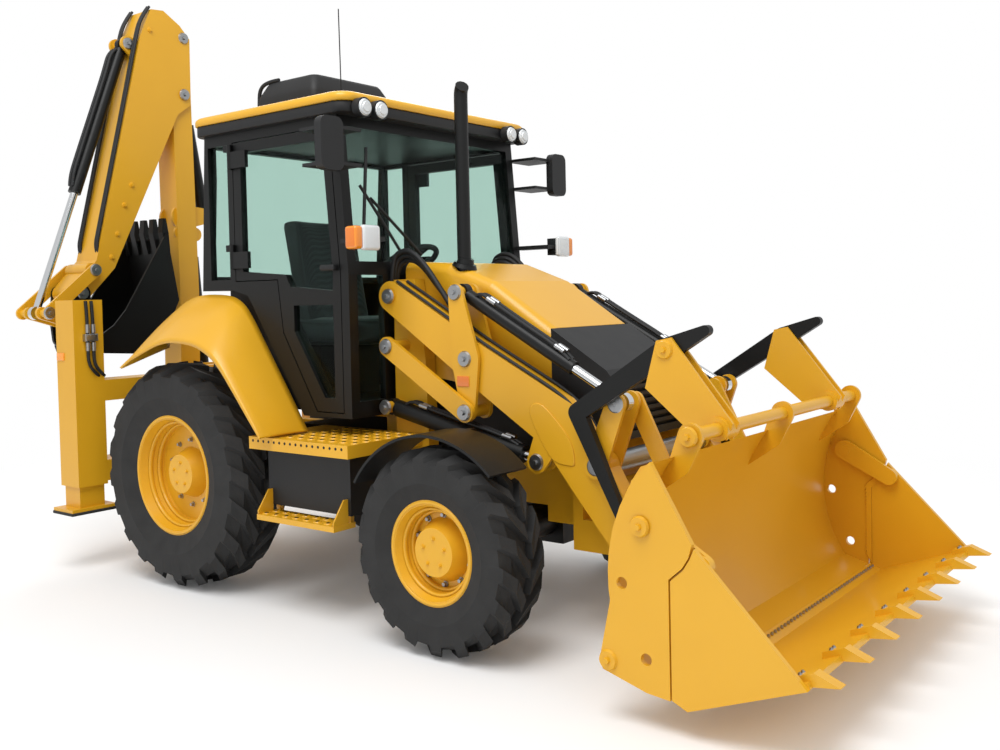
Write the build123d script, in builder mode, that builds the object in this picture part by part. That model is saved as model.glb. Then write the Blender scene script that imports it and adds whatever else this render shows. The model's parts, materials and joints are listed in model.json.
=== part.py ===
"""A backhoe loader: a tractor with a four-wheel chassis, a parallel-lift front loader with a
clam bucket and flip-over forks, and a side-shift rear hoe swung to the right for the road.

Lengths are in millimetres. Every piece is drawn with the rear axle at x = 0, +X forward, +Y to
the left and z = 0 on the ground, and save() moves it so that the origin lies under the middle
of the machine.
"""

from build123d import *
from math import acos, atan2, cos, hypot, pi, radians, sin
import os

os.makedirs("parts", exist_ok=True)

# Overall frame
MIDDLE_X = 1282.0
WHEELBASE = 2172.0
RUN_GAP = 0.3

# Wheels
REAR_TYRE_RADIUS = 700.0
REAR_TYRE_WIDTH = 430.0
REAR_RIM_RADIUS = 372.0
REAR_TRACK = 1714.0
FRONT_TYRE_RADIUS = 517.0
FRONT_TYRE_WIDTH = 330.0
FRONT_RIM_RADIUS = 262.0
FRONT_TRACK = 1880.0
RIM_WALL = 14.0
REAR_LUGS = 20
FRONT_LUGS = 18
LUG_DEPTH = 40.0
LUG_FOOT = 0.25
LUG_TIP = 0.20
HUB_RADIUS = 120.0
KINGPIN_INSET = 190.0

# Chassis
RAIL_Y = 330.0
RAIL_WIDTH = 70.0
RAIL_LOW = 560.0
RAIL_HIGH = 900.0
RAIL_FRONT_X = 2560.0
BUMPER_FRONT_X = 2790.0
FRAME_REAR_X = -840.0
REAR_FRAME_DEPTH = 220.0
REAR_FRAME_HALF = 1165.0
LEG_WIDTH = 210.0
LEG_WALL = 16.0
LEG_LOW = 560.0
LEG_HIGH = 1800.0
PAD_LOW = 380.0
PAD_HALF_X = 118.0
CAB_FLOOR = 1100.0
CAB_FEET = (150.0, 1180.0)
CAB_FOOT = 120.0

# Loader lanes, measured outward from the middle plane
TOWER_IN = 402.0
TOWER_OUT = 482.0
ARM_IN = 490.0
ARM_OUT = 590.0
LEVER_PLATE = 20.0
LANE_GAP = 6.0
LINK_PLATE = 24.0
LINK_LANE = (ARM_OUT + 2 * LANE_GAP + LEVER_PLATE, ARM_OUT + 2 * LANE_GAP + LEVER_PLATE + LINK_PLATE)
LINK_PIN_OUT = LINK_LANE[1] + 4.0
PIN_RADIUS = 32.0
PIN_GAP = 0.6

# Loader pins, (x, z) in the side view
ARM_PIVOT = (1480.0, 1775.0)
LINK_DROP = (15.0, -279.0)
ARM_MID = (2037.0, 1435.0)
LEVER_TOP = (1978.0, 1787.0)
LIFT_FOOT = (1440.0, 1150.0)
LIFT_EYE = (2471.0, 921.0)
LEVER_FRONT_PIVOT = (2835.0, 930.0)
LEVER_FRONT_TOP = (2955.0, 1240.0)
BUCKET_EAR = (3190.0, 760.0)
BUCKET_PIVOT = (3120.0, 395.0)
ARM_KNEE = (2608.0, 1112.0)
ARM_SHIN = (2810.0, 840.0)

# Loader bucket
BUCKET_HALF = 1205.0
BUCKET_PLATE = 25.0
CLAM_PIVOT = (3424.0, 827.0)
SHAFT = (3527.0, 1165.0)
SHAFT_HALF = 985.0
SHAFT_RADIUS = 30.0
FORK_Y = 660.0
FORK_PIN = (3266.0, 1505.0)
TEETH = 8

# Hoe plane: distances outward from the swing post, then heights
SWING_X = -1365.0
SWING_Y = 150.0
BOOM_FOOT = (240.0, 830.0)
STICK_PIVOT = (130.0, 3360.0)
STICK_HORN = (120.0, 3790.0)
DIG_EAR = (560.0, 3680.0)
GUIDE_PIN = (940.0, 2013.0)
DIG_PIVOT = (1030.0, 1850.0)
DIG_ROD_EYE = (1290.0, 1718.0)
DIG_LINK_EAR = (1040.0, 1640.0)
STICK_FOOT = (-110.0, 2450.0)
BOOM_CYL_FOOT = (-60.0, 1230.0)
BOOM_CYL_EYE = (25.0, 2300.0)
DIG_BUCKET_HALF = 280.0
BOOM_HALF = 105.0
STICK_HALF = 135.0
HOE_PLATE = 22.0

# Cab
CAB_HALF = 800.0
CAB_WALL = 45.0
TUB_HALF = 590.0
DOOR_GAP = 6.0
DOOR_HINGE_X = 388.0
GLASS = 6.0
ROOF_HALF = 850.0

SIDE = Plane.XZ
HOE = Plane(origin=(SWING_X, SWING_Y, 0), x_dir=(0, -1, 0), z_dir=(-1, 0, 0))


def save(builder, name):
    """Move a finished piece into the machine's own frame and write it."""
    piece = builder.part.moved(Location((-MIDDLE_X, 0, 0)))
    piece.label = name
    export_step(piece, f"parts/{name}.step")


def shift(point, along=0.0, up=0.0):
    return (point[0] + along, point[1] + up)


def slab(plane, points, low, high, mode=Mode.ADD):
    """A flat plate with a polygon outline, from lane low to lane high off the plane."""
    with BuildSketch(plane.offset(low)) as outline:
        with BuildLine():
            Polyline(*points, close=True)
        make_face()
    extrude(outline.sketch, amount=high - low, mode=mode)


def boss(plane, point, radius, low, high, mode=Mode.ADD):
    """A round boss, pin or hole square to the plane."""
    with BuildSketch(plane.offset(low)) as outline:
        with Locations(point):
            Circle(radius)
    extrude(outline.sketch, amount=high - low, mode=mode)


def strap(plane, stations, low, high, mode=Mode.ADD):
    """A plate whose outline runs tangent round a chain of circles, (point, radius) each."""
    with BuildSketch(plane.offset(low)) as outline:
        for point, radius in stations:
            with Locations(point):
                Circle(radius)
        for (p, rp), (q, rq) in zip(stations, stations[1:]):
            run = hypot(q[0] - p[0], q[1] - p[1])
            heading = atan2(q[1] - p[1], q[0] - p[0])
            spread = acos((rp - rq) / run)
            corners = []
            for centre, radius, turn in ((p, rp, spread), (q, rq, spread), (q, rq, -spread), (p, rp, -spread)):
                angle = heading + turn
                corners.append((centre[0] + radius * cos(angle), centre[1] + radius * sin(angle)))
            with BuildLine():
                Polyline(*corners, close=True)
            make_face()
    extrude(outline.sketch, amount=high - low, mode=mode)


def bar(plane, start, end, lane, radius, begin=0.0, stop=0.0, mode=Mode.ADD):
    """A round bar in the plane from start towards end, short of each by begin and stop."""
    run = hypot(end[0] - start[0], end[1] - start[1])
    along = ((end[0] - start[0]) / run, (end[1] - start[1]) / run)
    foot = plane.from_local_coords((start[0] + along[0] * begin, start[1] + along[1] * begin, lane))
    tip = plane.from_local_coords((start[0] + along[0] * run, start[1] + along[1] * run, lane))
    with Locations(Plane(origin=foot, z_dir=tip - foot)):
        Cylinder(radius, run - begin - stop, align=(Align.CENTER, Align.CENTER, Align.MIN), mode=mode)


def block(x, y, z, mode=Mode.ADD):
    """A box between two values on each axis."""
    with Locations(((x[0] + x[1]) / 2, (y[0] + y[1]) / 2, (z[0] + z[1]) / 2)):
        Box(x[1] - x[0], y[1] - y[0], z[1] - z[0], mode=mode)


def both(low, high):
    """The right-hand lane and its mirror on the left."""
    return ((low, high), (-high, -low))


# Wheels: tyre and rim turned about the axle
def turned(points, x, y, z, outward):
    """Turn a half section, given as (distance outward, radius), about an axle along Y."""
    section = Plane(origin=(x, y, z), x_dir=(0, outward, 0), z_dir=(outward, 0, 0))
    with BuildSketch(section) as outline:
        with BuildLine():
            Polyline(*points, close=True)
        make_face()
    revolve(outline.sketch, axis=Axis((x, y, z), (0, 1, 0)))


def lugged_tyre(radius, width, bead, lugs):
    """A tyre with a V of lugs on each half, built from flat triangles, its axle along Y.

    Each ring has four points a lug: root, tip, tip, root. One tip lies straight below the axle.
    """
    pitch = 2 * pi / lugs
    points = 4 * lugs
    shoulder = radius - 0.15 * width
    flank = bead + 0.5 * (shoulder - LUG_DEPTH - bead)
    bead_corner = bead / cos(pitch / 4)
    lowest = 1.5 * pi - pitch * (int(0.75 * lugs) + LUG_TIP)

    def ring(y, tip, root, turn):
        spots = []
        for lug in range(lugs):
            for share, r in ((-LUG_FOOT, root), (-LUG_TIP, tip), (LUG_TIP, tip), (LUG_FOOT, root)):
                angle = (lug + share) * pitch + turn + lowest
                spots.append(Vector(r * cos(angle), y, r * sin(angle)))
        return spots

    triangles = []

    def quad(a, b, c, d):
        triangles.extend(((a, b, c), (a, c, d)))

    def roots(spots):
        picked = [spots[4 * lug + k] for lug in range(lugs) for k in (0, 3)]
        return sorted(picked, key=lambda spot: atan2(spot.Z, spot.X) % (2 * pi))

    crowns, beads = [], []
    for side, lead in ((1, 0.0), (-1, pitch / 2)):
        rings = [
            ring(side * 0.03 * width, radius, radius - LUG_DEPTH, lead),
            ring(side * 0.31 * width, radius - 0.01 * width, radius - LUG_DEPTH - 4, lead + 0.24),
            ring(side * 0.48 * width, shoulder, shoulder - 0.6 * LUG_DEPTH, lead + 0.34),
            ring(side * 0.50 * width, flank, flank, lead + 0.34),
        ]
        for inner, outer in zip(rings, rings[1:]):
            for k in range(points):
                j = (k + 1) % points
                quad(inner[k], inner[j], outer[j], outer[k])
        foot = ring(side * 0.40 * width, bead_corner, bead_corner, lead + 0.34)
        for lug in range(lugs):
            a, b, c, d, after = (rings[3][(4 * lug + k) % points] for k in range(5))
            u, v, w = (foot[(4 * lug + k) % points] for k in (0, 3, 4))
            triangles.extend(((a, b, u), (b, c, u), (c, v, u), (c, d, v)))
            quad(d, after, w, v)
            quad(*rings[0][4 * lug : 4 * lug + 4])
        crowns.append(roots(rings[0]))
        beads.append(roots(foot))
    for near, far in (crowns, beads):
        offset = min(range(len(far)), key=lambda k: (near[0] - far[k]).length)
        for k in range(len(near)):
            j = (k + 1) % len(near)
            quad(near[k], near[j], far[(j + offset) % len(far)], far[(k + offset) % len(far)])
    return Solid(Shell([Face(Wire.make_polygon(corners, close=True)) for corners in triangles]))


def rim_section(bead, width, disc_y, disc):
    half = width / 2 * 0.80
    inner = bead - RIM_WALL
    return [
        (-half, inner),
        (-half, bead - RUN_GAP),
        (half, bead - RUN_GAP),
        (half, inner - 12),
        (disc_y + disc, inner - 60),
        (disc_y + disc, HUB_RADIUS + 40),
        (disc_y + disc + 90, HUB_RADIUS),
        (disc_y + disc + 90, 0),
        (disc_y, 0),
        (disc_y, inner - 60),
        (half - 60, inner - 12),
        (half - 60, inner),
    ]


WHEELS = {
    "rear": (0.0, REAR_TRACK / 2, REAR_TYRE_RADIUS, REAR_TYRE_WIDTH, REAR_RIM_RADIUS, REAR_LUGS),
    "front": (WHEELBASE, FRONT_TRACK / 2, FRONT_TYRE_RADIUS, FRONT_TYRE_WIDTH, FRONT_RIM_RADIUS, FRONT_LUGS),
}
DISC = 20.0
for end, (wheel_x, wheel_y, radius, width, bead, lugs) in WHEELS.items():
    tread = lugged_tyre(radius, width, bead, lugs)
    for hand, outward in (("right", -1), ("left", 1)):
        with BuildPart() as tyre:
            add(tread.moved(Location((wheel_x, outward * wheel_y, radius))))
        save(tyre, f"tyre_{end}_{hand}")
        with BuildPart() as rim:
            turned(rim_section(bead, width, 0.0, DISC), wheel_x, outward * wheel_y, radius, outward)
        save(rim, f"rim_{end}_{hand}")

# Axles and steering knuckles
REAR_AXLE_Z = REAR_TYRE_RADIUS
FRONT_AXLE_Z = FRONT_TYRE_RADIUS
AXLE_RADIUS = 95.0
KNUCKLE_Y = FRONT_TRACK / 2 - KINGPIN_INSET
with BuildPart() as axles:
    block((-150, 150), (-RAIL_Y + RAIL_WIDTH, RAIL_Y - RAIL_WIDTH), (REAR_AXLE_Z - 160, REAR_AXLE_Z + 190))
    with Locations(Plane(origin=(0, 0, REAR_AXLE_Z), z_dir=(0, 1, 0))):
        Cylinder(AXLE_RADIUS, REAR_TRACK - 2 * RUN_GAP)

    with Locations(Plane(origin=(WHEELBASE, 0, FRONT_AXLE_Z), z_dir=(0, 1, 0))):
        Cylinder(AXLE_RADIUS, 2 * KNUCKLE_Y - 2 * 80)
    block((WHEELBASE - 130, WHEELBASE + 130), (-120, 120), (FRONT_AXLE_Z - 130, FRONT_AXLE_Z + 130))
    for y in (-KNUCKLE_Y, KNUCKLE_Y):
        inward = -1 if y > 0 else 1
        for z in (FRONT_AXLE_Z - 112, FRONT_AXLE_Z + 88):
            reach = sorted((y - inward * 45, y + inward * 110))
            block((WHEELBASE - 45, WHEELBASE + 45), reach, (z, z + 24))
        with Locations((WHEELBASE, y, FRONT_AXLE_Z)):
            Cylinder(30 + PIN_GAP, 300, mode=Mode.SUBTRACT)
save(axles, "axles")

# Steering knuckles, which carry the front mudguards
GUARD_GAP = 52.0
GUARD_SHEET = 14.0
GUARD_IN = FRONT_TRACK / 2 - FRONT_TYRE_WIDTH / 2 + 40
GUARD_WIDTH = 285.0
GUARD_LEAD = radians(46)
GUARD_TAIL = radians(148)
for hand, outward in (("right", -1), ("left", 1)):
    with BuildPart() as knuckle:
        with Locations((WHEELBASE, outward * KNUCKLE_Y, FRONT_AXLE_Z)):
            Cylinder(40, 174)
        reach = FRONT_TRACK / 2 - RUN_GAP - KNUCKLE_Y
        foot = Plane(origin=(WHEELBASE, outward * KNUCKLE_Y, FRONT_AXLE_Z), z_dir=(0, outward, 0))
        with Locations(foot):
            Cylinder(70, reach, align=(Align.CENTER, Align.CENTER, Align.MIN))
        lanes = sorted((-outward * GUARD_IN, -outward * (GUARD_IN + GUARD_WIDTH)))
        inner = FRONT_TYRE_RADIUS + GUARD_GAP
        with BuildSketch(SIDE.offset(lanes[0])) as outline:
            with Locations((WHEELBASE, FRONT_AXLE_Z)):
                Circle(inner + GUARD_SHEET)
                Circle(inner, mode=Mode.SUBTRACT)
            with BuildLine():
                reach = 3 * inner
                lead = (WHEELBASE + reach * cos(GUARD_LEAD), FRONT_AXLE_Z + reach * sin(GUARD_LEAD))
                tail = (WHEELBASE + reach * cos(GUARD_TAIL), FRONT_AXLE_Z + reach * sin(GUARD_TAIL))
                Polyline((WHEELBASE, FRONT_AXLE_Z), lead, (WHEELBASE, FRONT_AXLE_Z + reach), tail, close=True)
            make_face(mode=Mode.INTERSECT)
        extrude(outline.sketch, amount=lanes[1] - lanes[0])
        stay_y = sorted((outward * (KNUCKLE_Y - 25), outward * (GUARD_IN + 30)))
        block((WHEELBASE - 20, WHEELBASE + 20), stay_y, (FRONT_AXLE_Z + inner - 40, FRONT_AXLE_Z + inner + 4))
        stay_y = sorted((outward * (KNUCKLE_Y - 25), outward * (KNUCKLE_Y - 5)))
        block((WHEELBASE - 20, WHEELBASE + 20), stay_y, (FRONT_AXLE_Z + 114, FRONT_AXLE_Z + inner))
        with Locations((WHEELBASE, outward * KNUCKLE_Y, FRONT_AXLE_Z + 80)):
            Cylinder(30, 60, align=(Align.CENTER, Align.CENTER, Align.MIN))
    save(knuckle, f"knuckle_{hand}")

# Chassis
LINK_PIVOT = shift(ARM_PIVOT, *LINK_DROP)
with BuildPart() as main_frame:
    for low, high in both(RAIL_Y - RAIL_WIDTH, RAIL_Y):
        block((FRAME_REAR_X, RAIL_FRONT_X), (low, high), (RAIL_LOW, RAIL_HIGH))
    block((WHEELBASE - 180, WHEELBASE + 180), (-RAIL_Y, RAIL_Y), (FRONT_AXLE_Z - 200, FRONT_AXLE_Z + 130), Mode.SUBTRACT)
    block((WHEELBASE - 180, WHEELBASE + 180), (-RAIL_Y, RAIL_Y), (FRONT_AXLE_Z + 130, RAIL_HIGH - 120))
    block((RAIL_FRONT_X - 60, RAIL_FRONT_X), (-RAIL_Y, RAIL_Y), (RAIL_LOW, RAIL_HIGH))
    block((FRAME_REAR_X, FRAME_REAR_X + 60), (-RAIL_Y, RAIL_Y), (RAIL_LOW, RAIL_HIGH))
    block((RAIL_FRONT_X, BUMPER_FRONT_X), (-400, 400), (450, 610))
    block((RAIL_FRONT_X - 1, RAIL_FRONT_X + 60), (-400, 400), (609, 1010))
    for low, high in both(RAIL_Y - RAIL_WIDTH + 5, RAIL_Y):
        for x in CAB_FEET:
            block((x, x + CAB_FOOT), (low, high), (RAIL_HIGH - 1, CAB_FLOOR))
    for low, high in both(TOWER_IN, TOWER_OUT):
        tower = [
            (1405, RAIL_LOW + 60),
            (1660, RAIL_LOW + 60),
            (1640, 1420),
            shift(ARM_PIVOT, 90, 95),
            shift(ARM_PIVOT, -70, 95),
            (1405, 1420),
        ]
        slab(SIDE, tower, low, high)
    for low, high in both(RAIL_Y - 1, TOWER_IN):
        block((1405, 1660), (low, high), (RAIL_LOW + 60, RAIL_HIGH))
    for low, high in both(TOWER_OUT - 1, ARM_OUT + LANE_GAP + 10):
        boss(SIDE, ARM_PIVOT, PIN_RADIUS + 8, low, high)
        boss(SIDE, LIFT_FOOT, PIN_RADIUS, low, high)
    for low, high in both(TOWER_OUT - 1, LINK_PIN_OUT):
        boss(SIDE, LINK_PIVOT, PIN_RADIUS, low, high)
    boss(SIDE, (0, REAR_AXLE_Z), AXLE_RADIUS, -RAIL_Y - 10, RAIL_Y + 10, Mode.SUBTRACT)
save(main_frame, "main_frame")

with BuildPart() as drivetrain:
    block((1480, 2380), (-RAIL_Y + RAIL_WIDTH + 10, RAIL_Y - RAIL_WIDTH - 10), (RAIL_HIGH - 120, 1330))
    block((300, 1300), (-RAIL_Y + RAIL_WIDTH, RAIL_Y - RAIL_WIDTH), (RAIL_LOW + 20, RAIL_HIGH + 60))
save(drivetrain, "drivetrain")

# Hood and grille
HOOD_HALF = 395.0
HOOD_REAR_X = 1425.0
HOOD_FRONT_X = 2440.0
GRILLE_FRONT_X = 2800.0
GRILLE_SLOTS = 7
GRILLE_LOW = 1050.0
GRILLE_PITCH = 40.0
GRILLE_DEPTH = 45.0
HOOD_SHEET = 12.0
STACK = (1815.0, -330.0)
STACK_FOOT = 1850.0
STACK_TOP = 2880.0
STACK_RADIUS = 52.0
with BuildPart() as hood:
    crown = [
        (HOOD_REAR_X, 1340),
        (HOOD_FRONT_X, 1200),
        (HOOD_FRONT_X, 1590),
        (2050, 1845),
        (1750, 1955),
        (HOOD_REAR_X, 1975),
    ]
    slab(SIDE, crown, -HOOD_HALF, HOOD_HALF)
    top = hood.faces().filter_by(lambda f: f.normal_at().Z > 0.3)
    fillet(top.edges().filter_by(lambda e: abs(e.tangent_at(0.5).Y) < 0.5), 60)
    under = [
        (HOOD_REAR_X - 1, 1300),
        (HOOD_FRONT_X + 1, 1150),
        (HOOD_FRONT_X + 1, 1590 - 2 * HOOD_SHEET),
        (2050, 1845 - 2 * HOOD_SHEET),
        (1750, 1955 - 2 * HOOD_SHEET),
        (HOOD_REAR_X - 1, 1975 - 2 * HOOD_SHEET),
    ]
    slab(SIDE, under, -HOOD_HALF + 2 * HOOD_SHEET, HOOD_HALF - 2 * HOOD_SHEET, Mode.SUBTRACT)
    with Locations((*STACK, STACK_FOOT)):
        Cylinder(STACK_RADIUS, STACK_TOP, mode=Mode.SUBTRACT)
save(hood, "hood")

with BuildPart() as grille:
    nose = [
        (HOOD_FRONT_X, 1010),
        (GRILLE_FRONT_X - 10, 1010),
        (GRILLE_FRONT_X, 1345),
        (GRILLE_FRONT_X - 30, 1380),
        (HOOD_FRONT_X, 1588),
    ]
    slab(SIDE, nose, -HOOD_HALF, HOOD_HALF)
    for slot in range(GRILLE_SLOTS):
        z = GRILLE_LOW + slot * GRILLE_PITCH
        slot_x = (GRILLE_FRONT_X - GRILLE_DEPTH, GRILLE_FRONT_X + 1)
        block(slot_x, (-HOOD_HALF + 60, HOOD_HALF - 60), (z, z + GRILLE_PITCH / 2), Mode.SUBTRACT)
save(grille, "front_grille")

with BuildPart() as stack:
    with Locations((*STACK, STACK_FOOT)):
        Cylinder(STACK_RADIUS, STACK_TOP - STACK_FOOT, align=(Align.CENTER, Align.CENTER, Align.MIN))
save(stack, "exhaust_stack")

# Cab: a hollow frame with its windows and door openings cut, doors, glass and roof
CAB_REAR_X = 60.0
CAB_FRONT_X = 1372.0
CAB_TOP = 2790.0
CAB_BELT = 1900.0
RAKE = 70.0
FENDER_LINE = 1835.0
HINGE_X = DOOR_HINGE_X - 4
HINGE_Y = CAB_HALF + 16.0
HINGE_RADIUS = 14.0
HINGE_LENGTH = 110.0
HINGE_SEAT = 40.0
HINGE_HEIGHTS = (FENDER_LINE + 180, CAB_TOP - 170)


def front_x(z):
    """The cab's front face: upright to the belt, then raked back to the roof."""
    return CAB_FRONT_X - RAKE * max(0.0, z - CAB_BELT) / (CAB_TOP - CAB_BELT)


with BuildPart() as cab_frame:
    shell = [
        (CAB_REAR_X, FENDER_LINE),
        (350, FENDER_LINE),
        (500, FENDER_LINE - 35),
        (975, CAB_FLOOR),
        (CAB_FRONT_X, CAB_FLOOR),
        (CAB_FRONT_X, CAB_BELT),
        (CAB_FRONT_X - RAKE, CAB_TOP),
        (CAB_REAR_X + 60, CAB_TOP),
    ]
    slab(SIDE, shell, -CAB_HALF, CAB_HALF)
    block((CAB_REAR_X, 1000), (-TUB_HALF, TUB_HALF), (CAB_FLOOR, FENDER_LINE + 10))
    hollow = [
        (CAB_REAR_X + CAB_WALL, FENDER_LINE + CAB_WALL),
        (370, FENDER_LINE + CAB_WALL),
        (535, FENDER_LINE - 5),
        (1010, CAB_FLOOR + CAB_WALL),
        (CAB_FRONT_X - CAB_WALL, CAB_FLOOR + CAB_WALL),
        (CAB_FRONT_X - CAB_WALL, CAB_BELT),
        (CAB_FRONT_X - RAKE - CAB_WALL, CAB_TOP - CAB_WALL),
        (CAB_REAR_X + 60 + CAB_WALL, CAB_TOP - CAB_WALL),
    ]
    slab(SIDE, hollow, -CAB_HALF + CAB_WALL, CAB_HALF - CAB_WALL, Mode.SUBTRACT)
    tub_inside = TUB_HALF - CAB_WALL
    block(
        (CAB_REAR_X + CAB_WALL, 1020),
        (-tub_inside, tub_inside),
        (CAB_FLOOR + CAB_WALL, FENDER_LINE + CAB_WALL + 20),
        Mode.SUBTRACT,
    )
    opening = [
        (DOOR_HINGE_X, FENDER_LINE + 50),
        (DOOR_HINGE_X + 385, FENDER_LINE + 50),
        (DOOR_HINGE_X + 425, FENDER_LINE - 260),
        (DOOR_HINGE_X + 700, CAB_FLOOR + 25),
        (CAB_FRONT_X - 60, CAB_FLOOR + 25),
        (CAB_FRONT_X - 60, CAB_BELT),
        (CAB_FRONT_X - 60 - RAKE * 0.93, CAB_TOP - 60),
        (DOOR_HINGE_X, CAB_TOP - 60),
    ]
    slab(SIDE, opening, -CAB_HALF - 1, CAB_HALF + 1, Mode.SUBTRACT)
    quarter_x = (CAB_REAR_X + 90, DOOR_HINGE_X - 50)
    quarter_z = (FENDER_LINE + 65, CAB_TOP - 70)
    block(quarter_x, (-CAB_HALF - 1, CAB_HALF + 1), quarter_z, Mode.SUBTRACT)
    screen_y = (-CAB_HALF + 65, CAB_HALF - 65)
    screen_z = (CAB_BELT + 75, CAB_TOP - 60)
    block((CAB_FRONT_X - 200, CAB_FRONT_X + 10), screen_y, screen_z, Mode.SUBTRACT)
    kick_z = (CAB_FLOOR + 90, CAB_BELT)
    kick_y = (TUB_HALF - 60, CAB_HALF - 65)
    for low, high in both(*kick_y):
        block((CAB_FRONT_X - 100, CAB_FRONT_X + 10), (low, high), kick_z, Mode.SUBTRACT)
    back_z = (FENDER_LINE + 90, CAB_TOP - 70)
    block((CAB_REAR_X - 10, CAB_REAR_X + 150), screen_y, back_z, Mode.SUBTRACT)
    for hinge_y in (-HINGE_Y, HINGE_Y):
        for z in HINGE_HEIGHTS:
            foot = z + HINGE_LENGTH / 2 + RUN_GAP
            with Locations((HINGE_X, hinge_y, foot)):
                Cylinder(HINGE_RADIUS, HINGE_SEAT, align=(Align.CENTER, Align.CENTER, Align.MIN))
            seat_y = sorted((hinge_y, hinge_y / HINGE_Y * (CAB_HALF - 5)))
            block((HINGE_X - 60, HINGE_X), seat_y, (foot, foot + HINGE_SEAT))
save(cab_frame, "cab_frame")

with BuildPart() as cab_glass:
    middle = CAB_WALL / 2
    screen = [
        (front_x(screen_z[0]) - middle, screen_z[0]),
        (front_x(screen_z[0]) - middle + GLASS, screen_z[0]),
        (front_x(screen_z[1]) - middle + GLASS, screen_z[1]),
        (front_x(screen_z[1]) - middle, screen_z[1]),
    ]
    slab(SIDE, screen, *screen_y)
    for low, high in both(*kick_y):
        block((CAB_FRONT_X - middle, CAB_FRONT_X - middle + GLASS), (low, high), kick_z)
    for low, high in both(CAB_HALF - middle - GLASS, CAB_HALF - middle):
        block(quarter_x, (low, high), quarter_z)
    back_slope = 60 / (CAB_TOP - FENDER_LINE)
    back_low = CAB_REAR_X + middle + back_slope * (back_z[0] - FENDER_LINE)
    back_high = CAB_REAR_X + middle + back_slope * (back_z[1] - FENDER_LINE)
    back = [
        (back_low, back_z[0]),
        (back_low + GLASS, back_z[0]),
        (back_high + GLASS, back_z[1]),
        (back_high, back_z[1]),
    ]
    slab(SIDE, back, *screen_y)
save(cab_glass, "cab_glass")

leaf = [
    (DOOR_HINGE_X + DOOR_GAP, FENDER_LINE + 50 + DOOR_GAP),
    (DOOR_HINGE_X + 385 + DOOR_GAP, FENDER_LINE + 50 + DOOR_GAP),
    (DOOR_HINGE_X + 425 + DOOR_GAP, FENDER_LINE - 260 + DOOR_GAP),
    (DOOR_HINGE_X + 700 + DOOR_GAP, CAB_FLOOR + 25 + DOOR_GAP),
    (CAB_FRONT_X - 60 - DOOR_GAP, CAB_FLOOR + 25 + DOOR_GAP),
    (CAB_FRONT_X - 60 - DOOR_GAP, CAB_BELT),
    (CAB_FRONT_X - 60 - RAKE * 0.93 - DOOR_GAP, CAB_TOP - 60 - DOOR_GAP),
    (DOOR_HINGE_X + DOOR_GAP, CAB_TOP - 60 - DOOR_GAP),
]
upper_pane = [
    (DOOR_HINGE_X + 75, FENDER_LINE + 110),
    (DOOR_HINGE_X + 460, FENDER_LINE + 80),
    (DOOR_HINGE_X + 500, FENDER_LINE + 10),
    (CAB_FRONT_X - 130, FENDER_LINE - 20),
    (CAB_FRONT_X - 125, CAB_BELT),
    (CAB_FRONT_X - 190, CAB_TOP - 130),
    (DOOR_HINGE_X + 75, CAB_TOP - 130),
]
lower_pane = [
    (DOOR_HINGE_X + 525, FENDER_LINE - 250),
    (DOOR_HINGE_X + 770, CAB_FLOOR + 110),
    (CAB_FRONT_X - 130, CAB_FLOOR + 110),
    (CAB_FRONT_X - 130, FENDER_LINE - 100),
    (DOOR_HINGE_X + 525, FENDER_LINE - 100),
]
for hand, outward in (("right", -1), ("left", 1)):
    low, high = sorted((-outward * (CAB_HALF - CAB_WALL), -outward * CAB_HALF))
    with BuildPart() as door:
        slab(SIDE, leaf, low, high)
        slab(SIDE, upper_pane, low, high, Mode.SUBTRACT)
        slab(SIDE, lower_pane, low, high, Mode.SUBTRACT)
        for z in HINGE_HEIGHTS:
            with Locations((HINGE_X, outward * HINGE_Y, z)):
                Cylinder(HINGE_RADIUS, HINGE_LENGTH)
            strap_y = sorted((outward * CAB_HALF, outward * (CAB_HALF + 24)))
            block((DOOR_HINGE_X + 4, DOOR_HINGE_X + 150), strap_y, (z - 50, z + 50))
    save(door, f"door_{hand}")
    with BuildPart() as panes:
        pane_low, pane_high = sorted((-outward * (CAB_HALF - 20), -outward * (CAB_HALF - 20 - GLASS)))
        slab(SIDE, upper_pane, pane_low, pane_high)
        slab(SIDE, lower_pane, pane_low, pane_high)
    save(panes, f"door_glass_{hand}")

ROOF_LOW = CAB_TOP
ROOF_HIGH = 2925.0
with BuildPart() as roof:
    with BuildSketch(Plane.XY.offset(ROOF_LOW)) as brim:
        with Locations(((CAB_REAR_X - 20 + CAB_FRONT_X + 40) / 2, 0)):
            RectangleRounded(CAB_FRONT_X - CAB_REAR_X + 60, 2 * ROOF_HALF, 90)
    with BuildSketch(Plane.XY.offset(ROOF_LOW + 60)) as edge:
        with Locations(((CAB_REAR_X - 20 + CAB_FRONT_X + 40) / 2, 0)):
            RectangleRounded(CAB_FRONT_X - CAB_REAR_X + 60, 2 * ROOF_HALF, 90)
    with BuildSketch(Plane.XY.offset(ROOF_HIGH)) as crown_edge:
        with Locations(((CAB_REAR_X - 20 + CAB_FRONT_X + 40) / 2, 0)):
            RectangleRounded(CAB_FRONT_X - CAB_REAR_X - 140, 2 * ROOF_HALF - 180, 90)
    loft([brim.sketch, edge.sketch], ruled=True)
    loft([edge.sketch, crown_edge.sketch], ruled=True)
save(roof, "cab_roof")

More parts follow.
